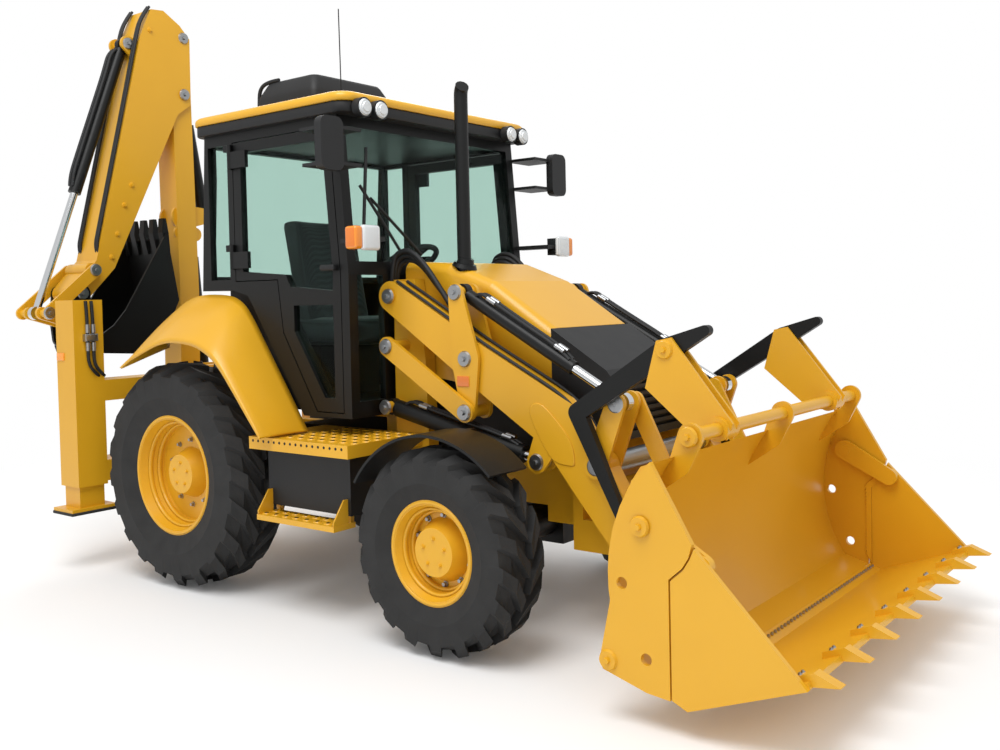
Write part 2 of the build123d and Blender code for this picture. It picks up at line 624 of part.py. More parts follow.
UNIT_X = (80.0, 640.0)
UNIT_HALF = 350.0
UNIT_TOP = 3220.0
UNIT_INSET = 22.0
SLAT = 26.0
SLAT_PITCH = 42.0
with BuildPart() as roof_unit:
    block((UNIT_X[0] + UNIT_INSET, UNIT_X[1] - UNIT_INSET), (-UNIT_HALF + UNIT_INSET, UNIT_HALF - UNIT_INSET), (ROOF_HIGH, UNIT_TOP))
    slats = int((UNIT_TOP - ROOF_HIGH) / SLAT_PITCH)
    for slat in range(slats):
        z = UNIT_TOP - slat * SLAT_PITCH
        block(UNIT_X, (-UNIT_HALF, UNIT_HALF), (z - SLAT, z))
save(roof_unit, "roof_unit")

# Seat, console and steering wheel
with BuildPart() as interior:
    block((450, 620), (-180, 180), (CAB_FLOOR + CAB_WALL, 1480))
    block((330, 830), (-250, 250), (1480, 1610))
    slab(SIDE, [(330, 1610), (460, 1610), (340, 2250), (220, 2250)], -230, 230)
    block((1130, CAB_FRONT_X - CAB_WALL), (-170, 170), (CAB_FLOOR + CAB_WALL, 1780))
    tilt_axis = Plane(origin=(1200, 0, 1780), z_dir=(-0.55, 0, 1))
    with Locations(tilt_axis):
        Cylinder(35, 240, align=(Align.CENTER, Align.CENTER, Align.MIN))
    with Locations(tilt_axis.offset(240)):
        Torus(185, 18)
        Box(370, 40, 16)
save(interior, "seat_and_console")

# Rear fenders: a sloping sheet lofted from the cab wall to the outer lip
FENDER_SHEET = 14.0
FENDER_OUT = 1150.0
inner_line = [(-330, 1480), (-190, 1745), (45, 1815), (345, 1805), (480, 1775), (975, 1060), (1010, 1014)]
outer_line = [(-330, 1370), (-150, 1465), (150, 1565), (530, 1510), (690, 1415), (980, 1060), (1010, 1014)]


def sheet_outline(line, drop):
    """A fender section: its outline above, and the same line lowered by the sheet below."""
    back = [(x - drop * 0.4, z - drop) for x, z in reversed(line)]
    return line + back


with BuildPart() as fenders:
    for outward in (-1, 1):
        near = SIDE.offset(-outward * CAB_HALF)
        far = SIDE.offset(-outward * FENDER_OUT)
        with BuildSketch(near) as root:
            with BuildLine():
                Polyline(*sheet_outline(inner_line, FENDER_SHEET), close=True)
            make_face()
        with BuildSketch(far) as lip:
            with BuildLine():
                Polyline(*sheet_outline(outer_line, FENDER_SHEET), close=True)
            make_face()
        loft([root.sketch, lip.sketch], ruled=True)
save(fenders, "rear_fenders")

# Tanks, platforms and steps under the doors
with BuildPart() as tanks:
    for low, high in both(TOWER_OUT, 950):
        block((830, 1500), (low, high), (600, 930))
save(tanks, "side_tanks")

with BuildPart() as steps:
    for low, high in both(TOWER_OUT, 1060):
        block((800, 1600), (low, high), (930, 1000))
    for low, high in both(900, 1060):
        block((850, 1480), (low, high), (530, 560))
    for low, high in both(900, 925):
        for x in (860, 1440):
            block((x, x + 30), (low, high), (560, 600))
save(steps, "platforms_and_steps")

# Loader arms with their brackets for the lift rods
LEVER_IN = (ARM_IN - LANE_GAP - LEVER_PLATE, ARM_IN - LANE_GAP)
LEVER_OUT = (ARM_OUT + LANE_GAP, ARM_OUT + LANE_GAP + LEVER_PLATE)
CYL_LANE = (ARM_IN + ARM_OUT) / 2
EYE_RADIUS = 46.0
EYE_PLATE = 20.0
CROSS_TUBE = (2736.0, 759.0)
CROSS_TUBE_RADIUS = 50.0
TILT_BARREL = 36.0
TROUGH = ((2382.0, 1525.0), (2974.0, 987.0))
LEVER_FOOT = shift(ARM_MID, *LINK_DROP)

with BuildPart() as arms:
    strap(SIDE, [(ARM_PIVOT, 85), (ARM_MID, 108), (ARM_KNEE, 138), (ARM_SHIN, 122), (BUCKET_PIVOT, 72)], ARM_IN, ARM_OUT)
    boss(SIDE, LEVER_FRONT_PIVOT, 64, ARM_IN, ARM_OUT)
    for low in (ARM_IN, ARM_OUT - EYE_PLATE):
        strap(SIDE, [(LIFT_EYE, 58), (shift(LIFT_EYE, 70, 125), 80)], low, low + EYE_PLATE)
    boss(SIDE, ARM_PIVOT, PIN_RADIUS + 8 + PIN_GAP, ARM_IN, ARM_OUT, Mode.SUBTRACT)
    for pin in (ARM_MID, LEVER_FRONT_PIVOT, BUCKET_PIVOT):
        boss(SIDE, pin, PIN_RADIUS + PIN_GAP, ARM_IN, ARM_OUT, Mode.SUBTRACT)
    bar(SIDE, *TROUGH, CYL_LANE, TILT_BARREL + LANE_GAP, mode=Mode.SUBTRACT)
    mirror(about=Plane.XZ)
    boss(SIDE, CROSS_TUBE, CROSS_TUBE_RADIUS, -ARM_IN - 1, ARM_IN + 1)
save(arms, "loader_arms")

with BuildPart() as levers:
    outline = [(LEVER_TOP, 46), (ARM_MID, 92), (LEVER_FOOT, 46)]
    for lane in (LEVER_IN, LEVER_OUT):
        strap(SIDE, outline, *lane)
    for pin in (LEVER_TOP, ARM_MID):
        boss(SIDE, pin, PIN_RADIUS, LEVER_IN[0], LEVER_OUT[1])
    boss(SIDE, LEVER_FOOT, PIN_RADIUS, LEVER_IN[0], LINK_PIN_OUT)
    mirror(about=Plane.XZ)
save(levers, "loader_levers")

with BuildPart() as links:
    strap(SIDE, [(LINK_PIVOT, 54), (LEVER_FOOT, 54)], *LINK_LANE)
    for pin in (LINK_PIVOT, LEVER_FOOT):
        boss(SIDE, pin, PIN_RADIUS + PIN_GAP, *LINK_LANE, Mode.SUBTRACT)
    mirror(about=Plane.XZ)
save(links, "loader_links")


def barrel(plane, foot, eye, lane, radius, length, eye_half, pin, bore):
    """A cylinder barrel: an eye round the foot pin, the tube, its gland and the rod's bore."""
    boss(plane, foot, EYE_RADIUS, lane - eye_half, lane + eye_half)
    bar(plane, foot, eye, lane, radius, 0.85 * EYE_RADIUS, hypot(eye[0] - foot[0], eye[1] - foot[1]) - length)
    boss(plane, foot, pin + PIN_GAP, lane - radius, lane + radius, Mode.SUBTRACT)
    bar(plane, foot, eye, lane, bore, 1.8 * EYE_RADIUS, 0, Mode.SUBTRACT)


def rod(plane, foot, eye, lane, radius, begin, eye_half):
    """A cylinder rod with its closed eye."""
    bar(plane, foot, eye, lane, radius, begin, 0)
    boss(plane, eye, EYE_RADIUS, lane - eye_half, lane + eye_half)


LIFT_ROD = 27.0
LIFT_BARREL = 48.0
LIFT_LENGTH = 945.0
LIFT_ROD_START = 116.0
EYE_HALF = 22.0
ROD_GAP = 0.5
with BuildPart() as lift_barrels:
    barrel(SIDE, LIFT_FOOT, LIFT_EYE, CYL_LANE, LIFT_BARREL, LIFT_LENGTH, EYE_HALF, PIN_RADIUS, LIFT_ROD + ROD_GAP)
    mirror(about=Plane.XZ)
save(lift_barrels, "lift_cylinder_barrels")
with BuildPart() as lift_rods:
    rod(SIDE, LIFT_FOOT, LIFT_EYE, CYL_LANE, LIFT_ROD, LIFT_ROD_START, EYE_HALF)
    mirror(about=Plane.XZ)
save(lift_rods, "lift_cylinder_rods")

TILT_ROD = 24.0
TILT_LENGTH = 800.0
TILT_ROD_START = 216.0
with BuildPart() as tilt_barrels:
    barrel(SIDE, LEVER_TOP, LEVER_FRONT_TOP, CYL_LANE, TILT_BARREL, TILT_LENGTH, EYE_HALF, PIN_RADIUS, TILT_ROD + ROD_GAP)
    mirror(about=Plane.XZ)
save(tilt_barrels, "tilt_cylinder_barrels")
with BuildPart() as tilt_rods:
    rod(SIDE, LEVER_TOP, LEVER_FRONT_TOP, CYL_LANE, TILT_ROD, TILT_ROD_START, EYE_HALF)
    mirror(about=Plane.XZ)
save(tilt_rods, "tilt_cylinder_rods")

# Front tilt levers, their pivot pins and the links down to the bucket
EAR_PLATE = 16.0
LINK_GAP = 4.0
LEVER_TUBE = 50.0
BUCKET_TUBE = 80.0
EAR_OUT = (LEVER_IN[0] - 8 - EAR_PLATE, LEVER_IN[0] - 8)
TILT_LINK = (EAR_OUT[0] - LINK_GAP - 20, EAR_OUT[0] - LINK_GAP)
EAR_IN = (TILT_LINK[0] - LINK_GAP - EAR_PLATE, TILT_LINK[0] - LINK_GAP)

with BuildPart() as lever_pins:
    boss(SIDE, LEVER_FRONT_PIVOT, PIN_RADIUS, LEVER_IN[0] - 2, LEVER_OUT[1] + 2)
    mirror(about=Plane.XZ)
    boss(SIDE, LEVER_FRONT_PIVOT, LEVER_TUBE, -LEVER_IN[0] + 1, LEVER_IN[0] - 1)
save(lever_pins, "tilt_lever_pins")

with BuildPart() as tilt_levers:
    for lane in (LEVER_IN, LEVER_OUT):
        strap(SIDE, [(LEVER_FRONT_PIVOT, 60), (LEVER_FRONT_TOP, 52)], *lane)
    boss(SIDE, LEVER_FRONT_PIVOT, PIN_RADIUS + PIN_GAP, LEVER_IN[0], LEVER_OUT[1], Mode.SUBTRACT)
    boss(SIDE, LEVER_FRONT_TOP, PIN_RADIUS - 6, TILT_LINK[1] + 2, LEVER_IN[1])
    mirror(about=Plane.XZ)
save(tilt_levers, "tilt_levers")

with BuildPart() as tilt_links:
    strap(SIDE, [(LEVER_FRONT_TOP, 44), (BUCKET_EAR, 44)], *TILT_LINK)
    boss(SIDE, BUCKET_EAR, PIN_RADIUS - 6 + PIN_GAP, *TILT_LINK, Mode.SUBTRACT)
    mirror(about=Plane.XZ)
save(tilt_links, "tilt_links")

with BuildPart() as bucket_pins:
    boss(SIDE, BUCKET_PIVOT, PIN_RADIUS, LEVER_IN[0] - 2, LEVER_OUT[1] + 2)
    mirror(about=Plane.XZ)
    boss(SIDE, BUCKET_PIVOT, BUCKET_TUBE, -LEVER_IN[0] + 1, LEVER_IN[0] - 1)
save(bucket_pins, "bucket_pins")

# Clam bucket: fixed back with its side plates and hinge ears, then the jaw
BACK_TOP = (3415.0, 1062.0)
BACK_MID = (3262.0, 600.0)
BACK_LOW = (3390.0, 185.0)
SEAM_X = 3545.0
FLOOR_REAR_Z = 145.0
JAW_GAP = 8.0
SEAM_RADIUS = 232.0
SEAM_ANGLES = (radians(-25), radians(-39))
SIDE_CORNER = (3649.0, 780.0)
SIDE_TOP = (3470.0, 1088.0)
TOE = (4104.0, 305.0)
HEEL = (3620.0, 119.0)
INSIDE = BUCKET_HALF - BUCKET_PLATE
LASHING_HOLES = ((3332.0, 584.0), (3440.0, 290.0))
LASHING_RADIUS = 25.0
CLAM_PIN_PROUD = 8.0
JAW_ARM = (3672.0, 690.0)
JAW_ARM_RADIUS = 45.0



def seam(radius, x):
    """The seam between back and jaw: points round the clam pivot, ending on the line at x."""
    points = [shift(CLAM_PIVOT, radius * cos(angle), radius * sin(angle)) for angle in SEAM_ANGLES]
    across = x - CLAM_PIVOT[0]
    return points + [(x, CLAM_PIVOT[1] - (radius**2 - across**2) ** 0.5)]


with BuildPart() as bucket_back:
    with BuildSketch(SIDE.offset(-INSIDE - 1)) as shell:
        with BuildLine():
            ThreePointArc(BACK_TOP, BACK_MID, BACK_LOW)
            Polyline(
                BACK_LOW,
                (SEAM_X, FLOOR_REAR_Z),
                (SEAM_X, FLOOR_REAR_Z + BUCKET_PLATE),
                shift(BACK_LOW, 16, BUCKET_PLATE),
            )
            ThreePointArc(shift(BACK_LOW, 16, BUCKET_PLATE), shift(BACK_MID, BUCKET_PLATE), shift(BACK_TOP, 40, 15))
            Line(shift(BACK_TOP, 40, 15), BACK_TOP)
        make_face()
    extrude(shell.sketch, amount=2 * INSIDE + 2)
    cheek = [
        shift(BACK_TOP, -30, -55),
        SIDE_TOP,
        SIDE_CORNER,
        *seam(SEAM_RADIUS, SEAM_X),
        (SEAM_X, FLOOR_REAR_Z),
        (BACK_LOW[0] + 50, 155),
        (3235, 212),
        (3218, 245),
    ]
    for low, high in both(INSIDE, BUCKET_HALF):
        slab(SIDE, cheek, low, high)
    for low, high in both(*LEVER_IN) + both(*LEVER_OUT):
        strap(SIDE, [(BUCKET_PIVOT, 66), (shift(BACK_MID, 20, -150), 95)], low, high)
    for low, high in both(*EAR_IN) + both(*EAR_OUT):
        strap(SIDE, [(BUCKET_EAR, 50), (shift(BACK_MID, 25, 60), 85)], low, high)
    for low, high in both(EAR_IN[0], EAR_OUT[1]):
        boss(SIDE, BUCKET_EAR, PIN_RADIUS - 6, low, high)
    with BuildSketch(SIDE.offset(-INSIDE)) as inside:
        with BuildLine():
            ThreePointArc(shift(BACK_LOW, 16, BUCKET_PLATE), shift(BACK_MID, BUCKET_PLATE), shift(BACK_TOP, 40, 15))
            Polyline(shift(BACK_TOP, 40, 15), SIDE_CORNER, (SEAM_X, FLOOR_REAR_Z + BUCKET_PLATE), shift(BACK_LOW, 16, BUCKET_PLATE))
        make_face()
    extrude(inside.sketch, amount=2 * INSIDE, mode=Mode.SUBTRACT)
    for y in (-SHAFT_HALF + 25, 0, SHAFT_HALF - 25):
        strap(SIDE, [(SHAFT, 56), (shift(SIDE_TOP, 5, -45), 48), (shift(BACK_MID, 60, 300), 16)], y - 10, y + 10)
    boss(SIDE, SHAFT, SHAFT_RADIUS, -SHAFT_HALF, SHAFT_HALF)
    for low, high in both(INSIDE - 2, BUCKET_HALF):
        boss(SIDE, CLAM_PIVOT, PIN_RADIUS + RUN_GAP, low, high, Mode.SUBTRACT)
        for hole in LASHING_HOLES:
            boss(SIDE, hole, LASHING_RADIUS, low, high, Mode.SUBTRACT)
    for low, high in both(LEVER_IN[0] - 1, LEVER_OUT[1] + 1):
        boss(SIDE, BUCKET_PIVOT, PIN_RADIUS + PIN_GAP, low, high, Mode.SUBTRACT)
save(bucket_back, "bucket_back")

with BuildPart() as jaw:
    jaw_side = [
        shift(SIDE_CORNER, JAW_GAP, -JAW_GAP * 2),
        *seam(SEAM_RADIUS + JAW_GAP, SEAM_X + JAW_GAP),
        (SEAM_X + JAW_GAP, FLOOR_REAR_Z + 4),
        HEEL,
        TOE,
    ]
    for low, high in both(INSIDE, BUCKET_HALF):
        slab(SIDE, jaw_side, low, high)
    floor = [
        (SEAM_X + JAW_GAP, FLOOR_REAR_Z + 4),
        HEEL,
        TOE,
        shift(TOE, -8, BUCKET_PLATE),
        shift(HEEL, -4, BUCKET_PLATE + 4),
        (SEAM_X + JAW_GAP, FLOOR_REAR_Z + BUCKET_PLATE + 6),
    ]
    slab(SIDE, floor, -INSIDE - 1, INSIDE + 1)
    for low, high in both(INSIDE - 40, INSIDE - 15):
        strap(SIDE, [(CLAM_PIVOT, 55), (JAW_ARM, JAW_ARM_RADIUS)], low, high)
    for low, high in both(INSIDE - 16, INSIDE + 1):
        boss(SIDE, JAW_ARM, JAW_ARM_RADIUS, low, high)
    for low, high in both(INSIDE - 45, BUCKET_HALF + CLAM_PIN_PROUD):
        boss(SIDE, CLAM_PIVOT, PIN_RADIUS, low, high)
    lean = atan2(TOE[1] - HEEL[1], TOE[0] - HEEL[0])
    for tooth in range(TEETH):
        y = (tooth / (TEETH - 1) - 0.5) * 2 * (BUCKET_HALF - 75)
        point = (TOE[0] + 112 * cos(lean), TOE[1] + 112 * sin(lean) - 22)
        profile = [
            (TOE[0] - 90 * cos(lean), TOE[1] - 90 * sin(lean) + BUCKET_PLATE - 2),
            (TOE[0] - 90 * cos(lean), TOE[1] - 90 * sin(lean) + BUCKET_PLATE + 30),
            (TOE[0] + 5, TOE[1] + BUCKET_PLATE + 32),
            point,
            (TOE[0] - 6, TOE[1] + 2),
        ]
        slab(SIDE, profile, y - 28, y + 28)
save(jaw, "bucket_jaw")

CARRIER_PLATE = 14.0
TINE_HALF = 20.0
with BuildPart() as carriers:
    shape = [(3225, 1545), (3300, 1560), (3592, 1190), (3560, 1118), (3420, 1118), (3165, 1330)]
    for lane in (FORK_Y - TINE_HALF - 4 - CARRIER_PLATE, FORK_Y + TINE_HALF + 4):
        slab(SIDE, shape, lane, lane + CARRIER_PLATE)
    boss(SIDE, FORK_PIN, PIN_RADIUS - 4, FORK_Y - TINE_HALF - 5, FORK_Y + TINE_HALF + 5)
    boss(SIDE, SHAFT, 52, FORK_Y - 60, FORK_Y + 60)
    boss(SIDE, SHAFT, SHAFT_RADIUS + PIN_GAP, FORK_Y - 61, FORK_Y + 61, Mode.SUBTRACT)
    mirror(about=Plane.XZ)
save(carriers, "fork_carriers")

TINE_HEEL = (2775.0, 1195.0)
TINE_TIP = (3150.0, 430.0)
TINE_TAIL = (3455.0, 1590.0)
with BuildPart() as tines:
    shank = [(TINE_TAIL, 24), (FORK_PIN, 52), (TINE_HEEL, 44)]
    strap(SIDE, shank, FORK_Y - TINE_HALF, FORK_Y + TINE_HALF)
    strap(SIDE, [(TINE_HEEL, 44), (TINE_TIP, 12)], FORK_Y - TINE_HALF, FORK_Y + TINE_HALF)
    boss(SIDE, FORK_PIN, PIN_RADIUS - 4 + PIN_GAP, FORK_Y - TINE_HALF, FORK_Y + TINE_HALF, Mode.SUBTRACT)
    mirror(about=Plane.XZ)
save(tines, "fork_tines")

# Rear frame with the stabilizer legs, then the sliding inner legs and their pads
FRAME_BACK_X = FRAME_REAR_X - REAR_FRAME_DEPTH
LEG_IN = REAR_FRAME_HALF - LEG_WIDTH
SLIDE_GAP = 5.0
BEAM_DEPTH = 140.0
BEAM_HEIGHTS = (LEG_LOW + 20, 1120.0)
with BuildPart() as rear_frame:
    for low, high in both(LEG_IN, REAR_FRAME_HALF):
        block((FRAME_BACK_X, FRAME_REAR_X), (low, high), (LEG_LOW, LEG_HIGH))
    for low, high in both(LEG_IN + LEG_WALL, REAR_FRAME_HALF - LEG_WALL):
        inside_x = (FRAME_BACK_X + LEG_WALL, FRAME_REAR_X - LEG_WALL)
        block(inside_x, (low, high), (LEG_LOW - 1, LEG_HIGH - LEG_WALL), Mode.SUBTRACT)
    for z in BEAM_HEIGHTS:
        block((FRAME_BACK_X, FRAME_REAR_X), (-LEG_IN - 1, LEG_IN + 1), (z, z + BEAM_DEPTH))
    for y in (-400, 400):
        block((FRAME_BACK_X, FRAME_REAR_X), (y - 40, y + 40), (BEAM_HEIGHTS[0], BEAM_HEIGHTS[1] + BEAM_DEPTH))
save(rear_frame, "rear_frame")

for hand, outward in (("right", -1), ("left", 1)):
    with BuildPart() as leg:
        leg_y = sorted((outward * (LEG_IN + LEG_WALL + RUN_GAP), outward * (REAR_FRAME_HALF - LEG_WALL - RUN_GAP)))
        leg_x = (FRAME_BACK_X + LEG_WALL + SLIDE_GAP, FRAME_REAR_X - LEG_WALL - SLIDE_GAP)
        block(leg_x, leg_y, (PAD_LOW + 40, LEG_HIGH - LEG_WALL - 60))
        middle_y = outward * (LEG_IN + LEG_WIDTH / 2)
        middle_x = (FRAME_BACK_X + FRAME_REAR_X) / 2
        block((middle_x - PAD_HALF_X, middle_x + PAD_HALF_X), (middle_y - 160, middle_y + 160), (PAD_LOW, PAD_LOW + 40))
    save(leg, f"stabilizer_{hand}")

# Side-shift carriage with the two lugs that carry the swing post
CARRIAGE_X = FRAME_BACK_X - SLIDE_GAP
LUG_HALF = 88.0
LUG_THICK = 60.0
LUG_LOW = 470.0
LUG_HIGH = 720.0
POST_RADIUS = 45.0
with BuildPart() as carriage:
    block((CARRIAGE_X - 90, CARRIAGE_X), (SWING_Y - 270, SWING_Y + 270), (LUG_LOW, 1290))
    for z in BEAM_HEIGHTS:
        runner_z = (z + 20, z + BEAM_DEPTH - 20)
        block((CARRIAGE_X - 1, FRAME_BACK_X - RUN_GAP), (SWING_Y - 270, SWING_Y + 270), runner_z)
    for z in (LUG_LOW, LUG_HIGH):
        block((SWING_X, CARRIAGE_X - 89), (SWING_Y - LUG_HALF, SWING_Y + LUG_HALF), (z, z + LUG_THICK))
        with Locations((SWING_X, SWING_Y, z)):
            Cylinder(LUG_HALF, LUG_THICK, align=(Align.CENTER, Align.CENTER, Align.MIN))
    with Locations((SWING_X, SWING_Y, LUG_LOW)):
        Cylinder(POST_RADIUS, LUG_HIGH - LUG_LOW + 10, align=(Align.CENTER, Align.CENTER, Align.MIN))
save(carriage, "side_shift_carriage")

# Swing frame: a hub on the post and two cheeks for the boom and its cylinder
CHEEK_IN = BOOM_HALF + 4.0
CHEEK_OUT = CHEEK_IN + 26.0
HUB_LOW = LUG_LOW + LUG_THICK + 4
HUB_HIGH = LUG_HIGH - 4
with BuildPart() as swing_frame:
    with Locations((SWING_X, SWING_Y, HUB_LOW)):
        Cylinder(LUG_HALF + 12, HUB_HIGH - HUB_LOW, align=(Align.CENTER, Align.CENTER, Align.MIN))
    cheek = [
        (0, HUB_LOW),
        (250, HUB_LOW),
        (330, 760),
        (330, 900),
        (60, 1300),
        (-110, 1300),
        (-110, LUG_HIGH + LUG_THICK + 10),
        (110, LUG_HIGH + LUG_THICK + 10),
        (110, HUB_HIGH),
        (0, HUB_HIGH),
    ]
    for low, high in both(CHEEK_IN, CHEEK_OUT):
        slab(HOE, cheek, low, high)
    slab(HOE, [(60, HUB_LOW), (225, HUB_LOW), (225, 712), (60, 712)], -CHEEK_OUT, CHEEK_OUT)
    slab(HOE, [(-110, 800), (100, 800), (100, 850), (-110, 850)], -CHEEK_OUT, CHEEK_OUT)
    boss(HOE, BOOM_FOOT, PIN_RADIUS + 8, -CHEEK_OUT - 6, CHEEK_OUT + 6)
    boss(HOE, BOOM_CYL_FOOT, PIN_RADIUS, -CHEEK_OUT - 6, CHEEK_OUT + 6)
    with Locations((SWING_X, SWING_Y, LUG_LOW)):
        Cylinder(POST_RADIUS + PIN_GAP, LUG_HIGH, mode=Mode.SUBTRACT)
save(swing_frame, "swing_frame")

# Boom: two side plates, closed on the outer side, open inside for the stick cylinder
boom_chain = [(BOOM_FOOT, 88), ((125, 1250), 85), ((112, 1850), 85), ((120, 2500), 85), (STICK_PIVOT, 82)]
CYL_HALF = 62.0
with BuildPart() as boom:
    strap(HOE, boom_chain, -BOOM_HALF, BOOM_HALF)
    channel = [(-200, 2330), (175, 2330), (165, 3100), (150, 3600), (-200, 3600)]
    slab(HOE, channel, -BOOM_HALF + HOE_PLATE, BOOM_HALF - HOE_PLATE, Mode.SUBTRACT)
    throat = [(-200, 950), (150, 950), (150, 1500), (90, 2330), (-200, 2330)]
    slab(HOE, throat, -CYL_HALF, CYL_HALF, Mode.SUBTRACT)
    for low, high in both(CYL_HALF, CYL_HALF + HOE_PLATE):
        strap(HOE, [(BOOM_CYL_EYE, 52), (shift(BOOM_CYL_EYE, 130, 10), 60)], low, high)
        strap(HOE, [(STICK_FOOT, 52), (shift(STICK_FOOT, 250, -20), 95)], low, high)
    boss(HOE, STICK_FOOT, PIN_RADIUS, -CYL_HALF - 1, CYL_HALF + 1)
    boss(HOE, BOOM_FOOT, PIN_RADIUS + 8 + PIN_GAP, -BOOM_HALF, BOOM_HALF, Mode.SUBTRACT)
    boss(HOE, STICK_PIVOT, PIN_RADIUS + 8 + PIN_GAP, -BOOM_HALF, BOOM_HALF, Mode.SUBTRACT)
save(boom, "boom")

BOOM_BARREL = 52.0
BOOM_ROD = 30.0
BOOM_LENGTH = 900.0
BOOM_ROD_START = 100.0
with BuildPart() as boom_barrel:
    barrel(HOE, BOOM_CYL_FOOT, BOOM_CYL_EYE, 0, BOOM_BARREL, BOOM_LENGTH, EYE_HALF, PIN_RADIUS, BOOM_ROD + ROD_GAP)
save(boom_barrel, "boom_cylinder_barrel")
with BuildPart() as boom_rod:
    rod(HOE, BOOM_CYL_FOOT, BOOM_CYL_EYE, 0, BOOM_ROD, BOOM_ROD_START, EYE_HALF)
save(boom_rod, "boom_cylinder_rod")

# Stick: a tapering box, forked at the top round the boom's head
with BuildPart() as stick:
    stick_side = [
        (65, 3790),
        (150, 3880),
        (290, 3965),
        (395, 3955),
        (490, 3740),
        (900, 2085),
        (1085, 1880),
        (1000, 1785),
        (760, 2030),
        (190, 3200),
        (70, 3290),
    ]
    slab(HOE, stick_side, -STICK_HALF, STICK_HALF)
    head = [(-100, 2900), (340, 2900), (300, 3500), (330, 4100), (-100, 4100)]
    slab(HOE, head, -STICK_HALF + HOE_PLATE, STICK_HALF - HOE_PLATE, Mode.SUBTRACT)
    for low, high in both(CYL_HALF, CYL_HALF + HOE_PLATE):
        strap(HOE, [(DIG_EAR, 56), (shift(DIG_EAR, -110, -60), 80)], low, high)
    boss(HOE, DIG_EAR, PIN_RADIUS, -CYL_HALF - 1, CYL_HALF + 1)
    boss(HOE, DIG_PIVOT, 62, -STICK_HALF, STICK_HALF)
    boss(HOE, GUIDE_PIN, 50, -STICK_HALF, STICK_HALF)
    boss(HOE, STICK_PIVOT, PIN_RADIUS + 8, -STICK_HALF - 8, STICK_HALF + 8)
    boss(HOE, DIG_PIVOT, PIN_RADIUS + PIN_GAP, -STICK_HALF, STICK_HALF, Mode.SUBTRACT)
    boss(HOE, GUIDE_PIN, PIN_RADIUS - 6 + PIN_GAP, -STICK_HALF, STICK_HALF, Mode.SUBTRACT)
save(stick, "stick")

STICK_BARREL = 46.0
STICK_ROD = 27.0
STICK_LENGTH = 715.0
STICK_ROD_START = 676.0
with BuildPart() as stick_barrel:
    barrel(HOE, STICK_FOOT, STICK_HORN, 0, STICK_BARREL, STICK_LENGTH, EYE_HALF, PIN_RADIUS, STICK_ROD + ROD_GAP)
save(stick_barrel, "stick_cylinder_barrel")
with BuildPart() as stick_rod:
    rod(HOE, STICK_FOOT, STICK_HORN, 0, STICK_ROD, STICK_ROD_START, EYE_HALF)
save(stick_rod, "stick_cylinder_rod")

DIG_BARREL = 44.0
DIG_ROD = 26.0
DIG_LENGTH = 1190.0
DIG_ROD_START = 500.0
with BuildPart() as dig_barrel:
    barrel(HOE, DIG_EAR, DIG_ROD_EYE, 0, DIG_BARREL, DIG_LENGTH, EYE_HALF, PIN_RADIUS, DIG_ROD + ROD_GAP)
save(dig_barrel, "dig_cylinder_barrel")
with BuildPart() as dig_rod:
    rod(HOE, DIG_EAR, DIG_ROD_EYE, 0, DIG_ROD, DIG_ROD_START, EYE_HALF)
save(dig_rod, "dig_cylinder_rod")

# Bucket linkage and the digging bucket
EAR_LANE = (STICK_HALF + 5.0, STICK_HALF + 29.0)
GUIDE_LANE = (EAR_LANE[1] + 4.0, EAR_LANE[1] + 24.0)
POWER_LANE = (70.0, 95.0)
with BuildPart() as guide_links:
    for low, high in both(*GUIDE_LANE):
        strap(HOE, [(GUIDE_PIN, 44), (DIG_ROD_EYE, 44)], low, high)
    boss(HOE, GUIDE_PIN, PIN_RADIUS - 6, -GUIDE_LANE[1], GUIDE_LANE[1])
    for low, high in both(POWER_LANE[1] + 5, GUIDE_LANE[1]):
        boss(HOE, DIG_ROD_EYE, PIN_RADIUS - 6, low, high)
save(guide_links, "guide_links")

with BuildPart() as power_link:
    for low, high in both(*POWER_LANE):
        strap(HOE, [(DIG_ROD_EYE, 42), (DIG_LINK_EAR, 42)], low, high)
        boss(HOE, DIG_LINK_EAR, PIN_RADIUS - 6 + PIN_GAP, low, high, Mode.SUBTRACT)
save(power_link, "power_link")

DIG_PLATE = 18.0
dig_outline = [
    (420, 2290),
    (770, 1730),
    (870, 1620),
    (980, 1550),
    (1006, 1545),
    (1010, 1470),
    (995, 1430),
    (700, 1410),
    (480, 1500),
    (330, 1790),
]
with BuildPart() as dig_bucket:
    slab(HOE, dig_outline, -DIG_BUCKET_HALF, DIG_BUCKET_HALF)
    dig_hollow = [
        (450, 2340),
        (790, 1735),
        (885, 1628),
        (978, 1566),
        (988, 1450),
        (702, 1430),
        (494, 1513),
        (350, 1793),
        (425, 2340),
    ]
    slab(HOE, dig_hollow, -DIG_BUCKET_HALF + DIG_PLATE, DIG_BUCKET_HALF - DIG_PLATE, Mode.SUBTRACT)
    for low, high in both(*EAR_LANE):
        strap(HOE, [(DIG_PIVOT, 58), (DIG_LINK_EAR, 62), ((1030, 1530), 60)], low, high)
    boss(HOE, DIG_PIVOT, PIN_RADIUS, -EAR_LANE[1], EAR_LANE[1])
    boss(HOE, DIG_LINK_EAR, PIN_RADIUS - 6, -EAR_LANE[1], EAR_LANE[1])
    for place in (-2, -1, 0, 1, 2):
        lane = place * (DIG_BUCKET_HALF - 40) / 2
        slab(HOE, [(385, 2150), (415, 2140), (450, 2290), (440, 2395), (415, 2395), (395, 2290)], lane - 28, lane + 28)
save(dig_bucket, "dig_bucket")

